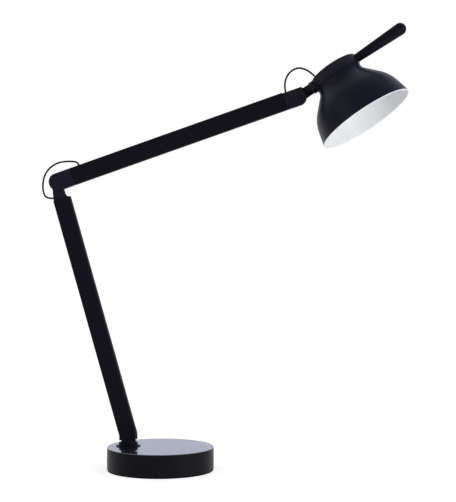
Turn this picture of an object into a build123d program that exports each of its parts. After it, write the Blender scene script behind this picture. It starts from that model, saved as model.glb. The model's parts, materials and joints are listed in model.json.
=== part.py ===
from build123d import *
import os
from math import cos, pi, radians, sin, sqrt, tan

# Desk lamp with two balanced arms: a heavy round base, a swivel post, a lower and an upper
# arm with a balance spring in each, and a bell shade that tilts, rolls and is aimed by a stick.
# Millimetres, +Z up, origin in the middle of the base's underside. The arms reach along +X.

# ---- fits ----
SNUG = 0.03  # radial clearance of a pin that is held
RUNNING = 0.04  # radial clearance of a pin that turns
SEAT = 0.10  # clearance of a plug in its tube, or a disc in its rebate
GAP = 0.30  # clearance between pieces that move past each other

# ---- base ----
BASE_DIAMETER = 180.0
BASE_HEIGHT = 39.3
BASE_TOP_EDGE = 0.8
BASE_LOWER_EDGE = 2.0
COVER_WALL = 3.0
COVER_TOP = 5.0
PAD_INSET = 11.0  # the pad's edge inside the base's
PAD_THICKNESS = 1.5
PLATE_THICKNESS = 2.5
BALLAST_HEIGHT = 23.0
BALLAST_INSET = 3.0  # from the cover's inner wall
BALLAST_EDGE = 2.0
BALLAST_BOSS_ROOM = 7.0  # round the swivel boss
BALLAST_PILLAR_ROOM = 1.0
LEAD_CHANNEL = 16.0  # slot in the ballast from the inlet to the post
BASE_SCREW_INSET = 35.0  # the screws' circle inside the base's edge
BASE_SCREW_RADIUS = 2.0
BASE_SCREW_HEAD = 4.0
BASE_SCREW_LENGTH = 16.0
BASE_SCREW_ROOM = 1.0  # round each head, in the pad
CROSS_REACH = 2.0  # of a screw's cross recess
CROSS_WIDTH = 0.8
CROSS_DEPTH = 1.0
PILLAR_RADIUS = 6.0
INLET_HEIGHT = 14.0
INLET_RADIUS = 3.5
INLET_LENGTH = 12.0
INLET_SLEEVE = 1.5  # rubber round the inlet's bore
INLET_FLANGE = 3.5  # its flanges' reach beyond the bore
INLET_PROUD = 0.5
INLET_STEP = 1.0  # its outer flange, let into the wall
INLET_COLLAR = 2.0  # its inner flange's far face from the wall

# ---- swivel post ----
POST_INSET = 35.2  # the post's axis inside the base's edge
ROSETTE_DIAMETER = 42.0
ROSETTE_THICKNESS = 1.0
ROSETTE_EDGE = 0.4
COLLAR_DIAMETER = 32.0
COLLAR_HEIGHT = 5.6
COLLAR_EDGE = 0.8
NECK_DIAMETER = 26.0
KNUCKLE_WIDTH = 28.0
KNUCKLE_DEPTH = 22.0
KNUCKLE_EDGE = 1.2
KNUCKLE_DROP = 8.9  # underside of the knuckle below its pivot
PIVOT_HEIGHT = 19.6  # lower pivot above the base's top
SHAFT_RADIUS = 6.0
SHAFT_BORE = 3.5
BUSH_RADIUS = 8.0
BOSS_RADIUS = 15.0
BOSS_BOTTOM = 17.0
SWIVEL_NUT_HEIGHT = 6.0
SWIVEL_NUT_REACH = 4.5  # its corners beyond the shaft
SWIVEL_WASHER_HEIGHT = 2.0
SWIVEL_WASHER_INSET = 3.0  # its edge inside the boss's
SHAFT_END = 1.0  # shaft beyond its nut

# ---- arms: X runs along an arm in its own frame, Z to its outer side ----
ARM_DEPTH = 30.0
ARM_WIDTH = 14.0
ARM_CORNER = 3.0
ARM_WALL = 1.8
LOWER_LEAN = 15.78  # degrees back from upright
LOWER_LENGTH = 443.2
ELBOW_OFFSET = 1.5  # elbow pivot in front of the lower arm's centre line
LOWER_TUBE_START = 16.0
SHOULDER_TO_ELBOW = 28.7
UPPER_RISE = 19.11  # degrees above level
UPPER_LENGTH = 429.0
TILT_DROP = 1.4  # head pivot below the upper arm's centre line
UPPER_TUBE_START = 26.0
SEAM_TO_TILT = 22.5
SEAM_GAP = 0.5
SPIGOT_LENGTH = 16.0
TONGUE_THICKNESS = 6.6
WASHER_THICKNESS = 0.5
PIVOT_GAP = 0.6
PLUG_BACK = 8.0  # the elbow plug reaches this much further than a spigot
PLUG_SHORT = 3.0  # and the elbow fork's this much less
FORK_BRIDGE = 5.0  # solid end between the elbow fork's slot and the tube

# ---- pivots ----
LOWER_AXLE_RADIUS = 3.5
ARM_AXLE_RADIUS = 3.0  # elbow and head pivot alike
AXLE_HEAD_EXTRA = 2.2
AXLE_HEAD_DEPTH = 1.4
AXLE_KEY_SHARE = 0.62  # of the axle's radius
AXLE_KEY_DEPTH = 0.8
NUT_SLOT_WIDTH = 1.2
NUT_SLOT_DEPTH = 0.6
LOWER_WASHER_RADIUS = 8.0
ELBOW_WASHER_RADIUS = 11.0
TILT_WASHER_RADIUS = 9.0
LOWER_END_REACH = 8.4  # the lower arm's rounded end below its pivot
LEAN_LIMIT = 37.0  # degrees off upright that the lower arm's end has room for
ELBOW_END_RADIUS = 15.0
TILT_END_RADIUS = 13.6
NECK_BACK_WIDTH = 14.4
NECK_FRONT_WIDTH = 6.2
NECK_FILLET = 6.5
NECK_EDGE = 0.8  # the back's start below the tube's corner
NECK_WAIST = 2.4  # the back's hollow, measured below the tongue
NECK_WAIST_DROP = 8.0
NECK_SWEEP = 7.0  # middle of the back's curve past the tube's end
NECK_SWEEP_SAG = 0.4
TONGUE_INSET = 0.4  # its round end inside the fork's
NECK_BACK_INSET = 0.3  # the neck's back at the cable's exit, inside the arm's outer face

# ---- balance springs ----
WIRE_RADIUS = 0.6
WIRE_GROOVE = 2.0
WIRE_ROOM = 1.4  # half the slot round a pull wire
LOWER_DRUM_RADIUS = 6.2
LOWER_DRUM_INSET = 1.4  # narrower than the tongue by this
LOWER_DRUM_ROOM = 0.5
LOWER_WIRE_OFFSET = 5.9
UPPER_WIRE_OFFSET = 8.5
SPRING_RADIUS = 4.2
SPRING_WIRE = 1.0
SPRING_START = 76.0
SPRING_LENGTH = 130.0
SPRING_CAP = 5.0
SPRING_BLOCK = 14.0
SPRING_STUD = 2.0
SPRING_STUD_FREE = 6.0  # stud between the spring's cap and its block
SPRING_STUD_END = 8.0  # stud beyond its block
TENSION_NUT_HEIGHT = 4.0

# ---- cables ----
CABLE_DIAMETER = 2.5
CABLE_HOLE = 1.8
LEAD_ELBOW_DROP = 24.3  # exit at the back of the neck, below the elbow pivot
LEAD_WALL_GAP = 2.9  # between the lower lead and the tube's wall
LEAD_ENTRY = 43.5  # entry in the top of the upper arm, from the elbow pivot
LEAD_SIDE = 3.0  # the upper lead runs this far to the side of the pull wire
LEAD_DEPTH = 3.0  # and this far below the upper arm's centre line
LEAD_EXIT_TO_TILT = 16.8
LEAD_LEVEL_END = 56.0  # the lower lead turns in this far before its tube's end
LEAD_BEND = 24.0  # and again this far before it
LEAD_RISE = 4.0
LEAD_SLOPE = 18.0  # length of the upper lead's way down and up again
GROMMET_RADIUS = 2.9
CABLE_MEET = 0.1  # between the end of a loose cable and the lead that goes on from it

# ---- head: X runs along the neck, Z up the shade's axis ----
NECK_RISE = 33.62  # degrees above level
SHADE_OFFSET = 73.9  # shade axis from the head pivot
HEAD_ROLL = 8.74  # degrees that the shade is turned about the neck
NECK_RADIUS = 8.95
NECK_START = 16.0
HUB_RADIUS = 42.3
HUB_TOP = 7.5
HUB_BOTTOM = -8.5
HUB_WALL = 3.5
HUB_EDGE = 0.6
HUB_GROOVE = 0.8
GROOVE_TOP = -4.3
WEB_TOP = -5.0
WEB_BOTTOM = -7.0
CAP_THICKNESS = 2.2
CAP_LEDGE = 0.85
CAP_ENTRY = -31.0  # the cable's way in, from the shade's axis
CAP_SCREW_RADIUS = 1.25
CAP_SCREW_HEAD = 2.4
CAP_SCREW_HEAD_DEPTH = 1.2
CAP_SLOT_REACH = 1.8
CAP_SLOT_WIDTH = 0.7
CAP_SCREW_INSET = 5.0  # from the hub's inner wall
CAP_PILLAR_RADIUS = 3.0
HUB_BOSS_RADIUS = 10.5
HUB_BOSS_FACE = 47.4
BEARING_END = 26.8
SPINDLE_RADIUS = 3.5
ROLL_NUT_RADIUS = 4.6
ROLL_NUT_LENGTH = 5.0
ROLL_WASHER = 0.7
BEARING_HALF_WIDTH = 8.0
HANDLE_PAD_HALF_WIDTH = 7.0
STOP_INSET = 2.2  # the stop corner, behind the fork's round end
STOP_DROP = 1.5  # and below the arm's top
STOP_CORNER = 2.5
NECK_START_EDGE = 0.8
TONGUE_ROUND_INSET = 0.7  # the neck's tongue inside the fork's round end
SLOT_BACK_GAP = 0.4

# ---- shade ----
SHADE_NECK_RADIUS = 41.0
SHADE_NECK_END = -14.0
FLARE_RADIUS = 12.0
SLOPE_ANGLE = 42.0  # degrees off the axis
SLOPE_LENGTH = 29.0
BOWL_RADIUS = 60.0
BOWL_END_ANGLE = 15.0
SKIRT_RADIUS = 420.0
RIM_DEPTH = 94.3
SHADE_WALL = 1.6
LINER_WALL = 0.6
LIP_THICKNESS = 0.6
FLANGE_INNER = 28.0
SHADE_SCREW_RING = 32.0
SHADE_SCREW_RADIUS = 1.5
SHADE_SCREW_HEAD = 2.8
SHADE_SCREW_HEAD_HEIGHT = 1.6

# ---- light, switch and handle ----
SINK_RADIUS = 26.0
SINK_HEIGHT = 6.0
SINK_FINS = 24
SINK_SLOT = 1.6
SINK_FLOOR = 1.5
BOARD_RADIUS = 22.0
BOARD_THICKNESS = 1.6
CHIP_SIDE = 3.0
CHIP_HEIGHT = 0.5
CHIP_RING = 13.64
CHIP_COUNT = 8
DIFFUSER_FACE = -16.0
DIFFUSER_THICKNESS = 2.0
DIFFUSER_EDGE = 1.2
SWITCH_RADIUS = 8.0
BUTTON_RADIUS = 5.5
BUTTON_TRAVEL = 1.5
BUTTON_PROUD = 1.8
BUTTON_EDGE = 0.8
BUTTON_DEPTH = 3.8  # underside of the button's head below the hub's top
STEM_RADIUS = 2.5
BUTTON_SPRING_RADIUS = 4.4
SWITCH_FLOOR = 0.6
HANDLE_SEAT = 2.0  # the handle's root reaches in behind the hub's curve by this
HANDLE_ROOT_RADIUS = 7.35
HANDLE_TIP_RADIUS = 10.3
HANDLE_TIP_CENTRE = 127.3
HANDLE_SCREW_RADIUS = 2.0
HANDLE_SCREW_HEAD = 3.8
HANDLE_SCREW_HEAD_HEIGHT = 3.0
HANDLE_SCREW_REACH = 15.0  # into the handle
HANDLE_PAD = 5.0  # thickness of the hub's pad behind the handle

# ---- places worked out from the sizes above ----
BASE_RADIUS = BASE_DIAMETER / 2
PAD_RADIUS = BASE_RADIUS - PAD_INSET
BASE_SCREW_RING = BASE_RADIUS - BASE_SCREW_INSET
POST_X = POST_INSET - BASE_RADIUS
PLATE_TOP = PAD_THICKNESS + PLATE_THICKNESS
PLATE_RADIUS = BASE_RADIUS - COVER_WALL - SEAT
ROSETTE_TOP = BASE_HEIGHT + ROSETTE_THICKNESS
COLLAR_TOP = ROSETTE_TOP + COLLAR_HEIGHT
PIVOT_Z = BASE_HEIGHT + PIVOT_HEIGHT
FORK_SLOT = TONGUE_THICKNESS + 2 * PIVOT_GAP
KNUCKLE_SLOT = ARM_WIDTH + 2 * PIVOT_GAP
TUBE_DEPTH = ARM_DEPTH - 2 * ARM_WALL
TUBE_WIDTH = ARM_WIDTH - 2 * ARM_WALL
SHOULDER = LOWER_LENGTH - SHOULDER_TO_ELBOW
SEAM = UPPER_LENGTH - SEAM_TO_TILT - SEAM_GAP
CABLE_RADIUS = CABLE_DIAMETER / 2
ELBOW_EXIT = LOWER_LENGTH - LEAD_ELBOW_DROP
NECK_BACK = ARM_DEPTH / 2 - NECK_BACK_INSET
CAP_UNDER = HUB_TOP - CAP_THICKNESS
HUB_INNER = HUB_RADIUS - HUB_WALL
CAP_RADIUS = HUB_INNER + CAP_LEDGE
CAP_SCREW_RING = HUB_INNER - CAP_SCREW_INSET
SPRING_END = SPRING_START + SPRING_LENGTH
BLOCK_START = SPRING_END + SPRING_STUD_FREE
LOWER_LEAD_SIDE = -(ARM_DEPTH / 2 - ARM_WALL - LEAD_WALL_GAP - CABLE_RADIUS)
NECK_END = SHADE_OFFSET - HUB_BOSS_FACE - ROLL_WASHER - SEAT
SWITCH_SHELF = HUB_TOP - BUTTON_DEPTH

LOWER_FRAME = Plane(
    origin=(POST_X, 0, PIVOT_Z),
    x_dir=(-sin(radians(LOWER_LEAN)), 0, cos(radians(LOWER_LEAN))),
    z_dir=(-cos(radians(LOWER_LEAN)), 0, -sin(radians(LOWER_LEAN))),
)
ELBOW = LOWER_FRAME.from_local_coords(Vector(LOWER_LENGTH, 0, -ELBOW_OFFSET))
UPPER_FRAME = Plane(
    origin=ELBOW,
    x_dir=(cos(radians(UPPER_RISE)), 0, sin(radians(UPPER_RISE))),
    z_dir=(-sin(radians(UPPER_RISE)), 0, cos(radians(UPPER_RISE))),
)
TILT = UPPER_FRAME.from_local_coords(Vector(UPPER_LENGTH, 0, -TILT_DROP))
NECK_FRAME = Plane(
    origin=TILT,
    x_dir=(cos(radians(NECK_RISE)), 0, sin(radians(NECK_RISE))),
    z_dir=(-sin(radians(NECK_RISE)), 0, cos(radians(NECK_RISE))),
)
SHADE_UP = NECK_FRAME.z_dir * cos(radians(HEAD_ROLL)) + NECK_FRAME.y_dir * sin(radians(HEAD_ROLL))
HEAD_FRAME = Plane(
    origin=NECK_FRAME.from_local_coords(Vector(SHADE_OFFSET, 0, 0)),
    x_dir=NECK_FRAME.x_dir,
    z_dir=SHADE_UP,
)


# ---- shapes that repeat ----
def rod_x(radius, start, end, y=0.0, z=0.0):
    """A round rod along X."""
    return Pos((start + end) / 2, y, z) * Rot(0, 90, 0) * Cylinder(radius, end - start)


def rod_y(radius, start, end, x=0.0, z=0.0):
    """A round rod along Y."""
    return Pos(x, (start + end) / 2, z) * Rot(90, 0, 0) * Cylinder(radius, end - start)


def rod_z(radius, start, end, x=0.0, y=0.0):
    """A round rod along Z."""
    return Pos(x, y, (start + end) / 2) * Cylinder(radius, end - start)


def block(x, y, z):
    """A box between pairs of limits along X, Y and Z."""
    size = (x[1] - x[0], y[1] - y[0], z[1] - z[0])
    return Pos((x[0] + x[1]) / 2, (y[0] + y[1]) / 2, (z[0] + z[1]) / 2) * Box(*size)


def side_plate(outline, width):
    """An outline drawn in X and Z, made as thick as width about the middle plane."""
    return extrude(Plane.XZ * outline, amount=width / 2, both=True)


def arm_bar(start, end, depth, width, corner):
    """A bar along X with an arm's rounded section."""
    section = RectangleRounded(width, depth, corner)
    return extrude(Plane.YZ.offset(start) * section, amount=end - start)


def pivot_pin(radius, width):
    """A pin along Y with a flush head at its near end."""
    head = rod_y(radius + AXLE_HEAD_EXTRA, -width / 2, -width / 2 + AXLE_HEAD_DEPTH)
    shank = rod_y(radius, -width / 2, width / 2 - AXLE_HEAD_DEPTH / 2)
    key = rod_y(radius * AXLE_KEY_SHARE, -width / 2, -width / 2 + AXLE_KEY_DEPTH)
    return head + shank - key


def pivot_nut(radius, width):
    """The flush round nut at the far end of a pivot pin."""
    nut = rod_y(radius + AXLE_HEAD_EXTRA, width / 2 - AXLE_HEAD_DEPTH, width / 2)
    half = NUT_SLOT_WIDTH / 2
    slot = block((-radius, radius), (width / 2 - NUT_SLOT_DEPTH, width / 2 + 1), (-half, half))
    return nut - rod_y(radius + SNUG, -width, width / 2 - AXLE_HEAD_DEPTH / 2) - slot


def pin_holes(radius, width):
    """What a pivot pin, its head and its nut need cut through a fork."""
    recess = radius + AXLE_HEAD_EXTRA + SNUG
    near = rod_y(recess, -width / 2 - 1, -width / 2 + AXLE_HEAD_DEPTH)
    far = rod_y(recess, width / 2 - AXLE_HEAD_DEPTH, width / 2 + 1)
    return rod_y(radius + SNUG, -width, width) + near + far


def friction_washers(axle_radius, outer_radius, slot):
    """A pair of thin washers, each flat against its cheek of a fork."""
    pair = [
        rod_y(outer_radius, -slot / 2, -slot / 2 + WASHER_THICKNESS),
        rod_y(outer_radius, slot / 2 - WASHER_THICKNESS, slot / 2),
    ]
    return Compound([washer - rod_y(axle_radius + RUNNING, -slot, slot) for washer in pair])


def smooth_path(points):
    """Straight runs joined by arcs as large as the runs allow, with the radii printed."""
    vectors = [Vector(*point) for point in points]
    radii = []
    for before, corner, after in zip(vectors, vectors[1:], vectors[2:]):
        first, second = corner - before, after - corner
        turn = first.get_angle(second)
        radii.append(0.45 * min(first.length, second.length) / tan(radians(turn) / 2))
    print("arc radii", [round(radius, 1) for radius in radii])
    return FilletPolyline(*vectors, radius=radii)


def tube_along(path, radius):
    """A round solid along a path."""
    start = Plane(origin=path @ 0, z_dir=path % 0)
    solid = sweep(start * Circle(radius), path=path)
    share = solid.volume / (pi * radius**2 * path.length)
    print("length %.1f, volume over section times length %.4f" % (path.length, share))
    return solid


# ---- base ----
def screw_places():
    """Where the base's screws stand, clear of the swivel boss."""
    return PolarLocations(BASE_SCREW_RING, 3)


def base_cover():
    """The turned cover: top and side wall in one, with the swivel boss and screw pillars."""
    outer = rod_z(BASE_RADIUS, PAD_THICKNESS, BASE_HEIGHT)
    outer = fillet(outer.edges().sort_by(Axis.Z)[-1], BASE_TOP_EDGE)
    outer = fillet(outer.edges().sort_by(Axis.Z)[0], BASE_LOWER_EDGE)
    ceiling = BASE_HEIGHT - COVER_TOP
    hollow = rod_z(BASE_RADIUS - COVER_WALL, 0, ceiling)
    boss = rod_z(BOSS_RADIUS, BOSS_BOTTOM, BASE_HEIGHT - 1, POST_X)
    pillars = [place * rod_z(PILLAR_RADIUS, PLATE_TOP, ceiling + 1) for place in screw_places()]
    taps = [
        place * rod_z(BASE_SCREW_RADIUS + SNUG, 0, PLATE_TOP + BASE_SCREW_LENGTH + 2)
        for place in screw_places()
    ]
    cover = outer - hollow + boss + pillars - taps
    cover -= rod_z(BUSH_RADIUS + SNUG, 0, BASE_HEIGHT + 1, POST_X)
    flange = INLET_RADIUS + INLET_FLANGE + SEAT
    sleeve = INLET_RADIUS + INLET_SLEEVE + RUNNING
    cover -= rod_x(flange, -BASE_RADIUS - 1, -BASE_RADIUS + INLET_STEP, z=INLET_HEIGHT)
    return cover - rod_x(sleeve, -BASE_RADIUS, -BASE_RADIUS + COVER_WALL + 3, z=INLET_HEIGHT)


def base_ballast():
    """The cast weight on the bottom plate, with room for the post, pillars and lead."""
    radius = BASE_RADIUS - COVER_WALL - BALLAST_INSET
    weight = rod_z(radius, PLATE_TOP, PLATE_TOP + BALLAST_HEIGHT)
    weight = chamfer(weight.edges().sort_by(Axis.Z)[-1], BALLAST_EDGE)
    weight -= rod_z(BOSS_RADIUS + BALLAST_BOSS_ROOM, 0, BASE_HEIGHT, POST_X)
    hole = rod_z(PILLAR_RADIUS + BALLAST_PILLAR_ROOM, 0, BASE_HEIGHT)
    weight -= [place * hole for place in screw_places()]
    half = LEAD_CHANNEL / 2
    return weight - block((-BASE_RADIUS, POST_X), (-half, half), (0, BASE_HEIGHT))


def base_plate():
    """The plate that closes the base from below, countersunk for its screws."""
    plate = rod_z(PLATE_RADIUS, PAD_THICKNESS, PLATE_TOP)
    sinks = [place * screw_solid(SEAT) for place in screw_places()]
    return plate - sinks


def screw_solid(clearance=0.0):
    """A countersunk base screw from the plate's underside upwards."""
    head_height = BASE_SCREW_HEAD - BASE_SCREW_RADIUS
    top = BASE_SCREW_RADIUS + clearance
    bottom = BASE_SCREW_HEAD + clearance
    cone = Pos(0, 0, PAD_THICKNESS + head_height / 2) * Cone(bottom, top, head_height)
    shank_end = PLATE_TOP + BASE_SCREW_LENGTH
    return cone + rod_z(top, PAD_THICKNESS + head_height, shank_end)


def base_screws():
    """Three countersunk screws, each with a cross recess."""
    half = CROSS_WIDTH / 2
    height = (PAD_THICKNESS - 1, PAD_THICKNESS + CROSS_DEPTH)
    recess = block((-CROSS_REACH, CROSS_REACH), (-half, half), height)
    screw = screw_solid() - recess - Rot(0, 0, 90) * recess
    return Compound([place * screw for place in screw_places()])


def foot_pad():
    """The rubber pad that the lamp stands on, open round the screw heads."""
    pad = rod_z(PAD_RADIUS, 0, PAD_THICKNESS)
    hole = rod_z(BASE_SCREW_HEAD + BASE_SCREW_ROOM, -1, PAD_THICKNESS)
    return pad - [place * hole for place in screw_places()]


def inlet_grommet():
    """The rubber grommet of the mains lead's way in, at the back of the base."""
    mouth = -BASE_RADIUS - INLET_PROUD
    inside = -BASE_RADIUS + COVER_WALL
    body = rod_x(INLET_RADIUS + INLET_SLEEVE, mouth, mouth + INLET_LENGTH, z=INLET_HEIGHT)
    flange = INLET_RADIUS + INLET_FLANGE
    body += rod_x(flange, mouth, -BASE_RADIUS + INLET_STEP, z=INLET_HEIGHT)
    body += rod_x(flange, inside + GAP, inside + INLET_COLLAR, z=INLET_HEIGHT)
    return body - rod_x(INLET_RADIUS, mouth - 1, mouth + INLET_LENGTH + 1, z=INLET_HEIGHT)


def swivel_rosette():
    """The thin round plate between the base's top and the turning collar."""
    disc = rod_z(ROSETTE_DIAMETER / 2, BASE_HEIGHT, ROSETTE_TOP, POST_X)
    disc = chamfer(disc.edges().sort_by(Axis.Z)[-1], ROSETTE_EDGE)
    return disc - rod_z(BUSH_RADIUS + SNUG, 0, ROSETTE_TOP + 1, POST_X)


def swivel_bush():
    """The plain bush in the boss that the swivel shaft turns in."""
    bush = rod_z(BUSH_RADIUS, BOSS_BOTTOM, ROSETTE_TOP, POST_X)
    return bush - rod_z(SHAFT_RADIUS + RUNNING, 0, ROSETTE_TOP + 1, POST_X)


# ---- swivel post ----
def swivel_knuckle():
    """Collar, short neck and the fork that carries the lower arm, in one piece."""
    collar = rod_z(COLLAR_DIAMETER / 2, ROSETTE_TOP, COLLAR_TOP)
    collar = fillet(collar.edges().sort_by(Axis.Z)[-1], COLLAR_EDGE)
    bottom = PIVOT_Z - KNUCKLE_DROP
    neck = rod_z(NECK_DIAMETER / 2, COLLAR_TOP - 1, bottom + 1)
    end = KNUCKLE_WIDTH / 2
    profile = Polyline((-end, PIVOT_Z), (-end, bottom), (end, bottom), (end, PIVOT_Z))
    profile += ThreePointArc((end, PIVOT_Z), (0, PIVOT_Z + end), (-end, PIVOT_Z))
    cheeks = side_plate(make_face(profile), KNUCKLE_DEPTH)
    cheeks = fillet(cheeks.faces().filter_by(Axis.Y).edges(), KNUCKLE_EDGE)
    sweep_across = ARM_DEPTH / 2 * sin(radians(LEAN_LIMIT))
    sweep_down = LOWER_END_REACH * cos(radians(LEAN_LIMIT))
    floor = PIVOT_Z - sqrt(sweep_across**2 + sweep_down**2) - GAP
    half = KNUCKLE_SLOT / 2
    slot = block((-KNUCKLE_WIDTH, KNUCKLE_WIDTH), (-half, half), (floor, 2 * PIVOT_Z))
    knuckle = collar + neck + cheeks - slot
    knuckle -= Pos(0, 0, PIVOT_Z) * pin_holes(LOWER_AXLE_RADIUS, KNUCKLE_DEPTH)
    knuckle -= rod_z(SHAFT_RADIUS + SNUG, 0, ROSETTE_TOP + COLLAR_HEIGHT - 1)
    knuckle -= rod_z(SHAFT_BORE, 0, PIVOT_Z)
    return Pos(POST_X, 0, 0) * knuckle


def swivel_shaft():
    """The hollow shaft under the collar, down through the bush to its nut."""
    low = BOSS_BOTTOM - SWIVEL_WASHER_HEIGHT - SWIVEL_NUT_HEIGHT - SHAFT_END
    shaft = rod_z(SHAFT_RADIUS, low, COLLAR_TOP - 1, POST_X)
    return shaft - rod_z(SHAFT_BORE, 0, COLLAR_TOP, POST_X)


def swivel_washer():
    """The wide washer under the boss."""
    low = BOSS_BOTTOM - SWIVEL_WASHER_HEIGHT
    washer = rod_z(BOSS_RADIUS - SWIVEL_WASHER_INSET, low, BOSS_BOTTOM - SEAT, POST_X)
    return washer - rod_z(SHAFT_RADIUS + SNUG, 0, BASE_HEIGHT, POST_X)


def swivel_nut():
    """The hexagon nut that holds the shaft from below."""
    low = BOSS_BOTTOM - SWIVEL_WASHER_HEIGHT - SWIVEL_NUT_HEIGHT
    hexagon = Plane.XY.offset(low) * RegularPolygon(SHAFT_RADIUS + SWIVEL_NUT_REACH, 6)
    nut = Pos(POST_X, 0, 0) * extrude(hexagon, amount=SWIVEL_NUT_HEIGHT)
    return nut - rod_z(SHAFT_RADIUS + SNUG, 0, BASE_HEIGHT, POST_X)


def lower_drum():
    """The grooved drum on the lower axle that the pull wire winds on."""
    width = TONGUE_THICKNESS - LOWER_DRUM_INSET
    groove = rod_y(LOWER_DRUM_RADIUS + 1, -WIRE_GROOVE / 2, WIRE_GROOVE / 2)
    groove -= rod_y(LOWER_WIRE_OFFSET - WIRE_RADIUS - GAP, -WIRE_GROOVE, WIRE_GROOVE)
    drum = rod_y(LOWER_DRUM_RADIUS, -width / 2, width / 2) - groove
    return drum - rod_y(LOWER_AXLE_RADIUS + SNUG, -width, width)


# ---- pieces of an arm, in the arm's frame ----
def arm_tube(start, end):
    """A rounded box section tube from start to end."""
    outer = arm_bar(start, end, ARM_DEPTH, ARM_WIDTH, ARM_CORNER)
    return outer - arm_bar(start - 1, end + 1, TUBE_DEPTH, TUBE_WIDTH, ARM_CORNER - ARM_WALL)


def spigot(start, end):
    """The part of an end fitting that sits inside the tube."""
    depth, width = TUBE_DEPTH - 2 * SEAT, TUBE_WIDTH - 2 * SEAT
    return arm_bar(start, end, depth, width, ARM_CORNER - ARM_WALL)


def pull_wire(offset):
    """The wire from the tangent of its drum up to the spring's cap."""
    return rod_x(WIRE_RADIUS, 0, SPRING_START, z=offset)


def balance_spring(offset):
    """A long tension spring as its outline: caps, closed coils and the tension stud."""
    coils = rod_x(SPRING_RADIUS, SPRING_START, SPRING_END, z=offset)
    inner = SPRING_RADIUS - SPRING_WIRE
    coils -= rod_x(inner, SPRING_START + SPRING_CAP, SPRING_END - SPRING_CAP, z=offset)
    stud_end = BLOCK_START + SPRING_BLOCK + SPRING_STUD_END
    return coils + rod_x(SPRING_STUD, SPRING_END - 1, stud_end, z=offset)


def spring_block(offset, lead_y, lead_z):
    """The block fixed in the tube that the tension stud and the lead pass through."""
    end = BLOCK_START + SPRING_BLOCK
    solid = spigot(BLOCK_START, end)
    solid -= rod_x(CABLE_HOLE, BLOCK_START - 1, end + 1, lead_y, lead_z)
    return solid - rod_x(SPRING_STUD + SNUG, BLOCK_START - 1, end + 1, z=offset)


def tension_nut(offset):
    """The nut on the tension stud, against its block."""
    start = BLOCK_START + SPRING_BLOCK
    hexagon = Plane.YZ.offset(start) * Pos(0, offset) * RegularPolygon(2 * SPRING_STUD, 6)
    nut = extrude(hexagon, amount=TENSION_NUT_HEIGHT)
    return nut - rod_x(SPRING_STUD + SNUG, start - 1, start + TENSION_NUT_HEIGHT + 1, z=offset)


# ---- lower arm ----
def lower_foot():
    """The lower arm's rounded end: it turns between the knuckle's cheeks round the drum."""
    outline = Ellipse(LOWER_END_REACH, ARM_DEPTH / 2)
    outline += Pos(LOWER_TUBE_START / 2, 0) * Rectangle(LOWER_TUBE_START, ARM_DEPTH)
    outline -= Pos(LOWER_TUBE_START + ARM_DEPTH, 0) * Rectangle(2 * ARM_DEPTH, ARM_DEPTH)
    foot = side_plate(outline, ARM_WIDTH)
    foot &= arm_bar(-ARM_DEPTH, LOWER_TUBE_START, ARM_DEPTH, ARM_WIDTH, ARM_CORNER)
    foot += spigot(LOWER_TUBE_START - 1, LOWER_TUBE_START + SPIGOT_LENGTH)
    half = (TONGUE_THICKNESS - LOWER_DRUM_INSET) / 2 + GAP
    room = LOWER_DRUM_RADIUS + LOWER_DRUM_ROOM
    foot -= rod_y(room, -half, half) + block((-ARM_DEPTH, 0), (-half, half), (-room, room))
    wire = (LOWER_WIRE_OFFSET - WIRE_ROOM, LOWER_WIRE_OFFSET + WIRE_ROOM)
    foot -= block((0, SPRING_START), (-WIRE_ROOM, WIRE_ROOM), wire)
    foot -= rod_y(LOWER_AXLE_RADIUS + RUNNING, -ARM_WIDTH, ARM_WIDTH)
    return foot - rod_x(CABLE_HOLE, -ARM_DEPTH, SPRING_START, z=LOWER_LEAD_SIDE)


def lower_lead_path():
    """The lead inside the lower arm, from its rounded end out at the back of the neck."""
    side = LOWER_LEAD_SIDE
    top = ELBOW_EXIT
    points = [
        (-5.8, 0, side),
        (SHOULDER - LEAD_LEVEL_END, 0, side),
        (SHOULDER - LEAD_BEND, 0, side + LEAD_RISE),
        (top - 2, 0, 0),
        (top, 0, NECK_BACK),
    ]
    return smooth_path(points)


def lower_lead():
    """The lead inside the lower arm."""
    return tube_along(lower_lead_path(), CABLE_RADIUS)


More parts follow.
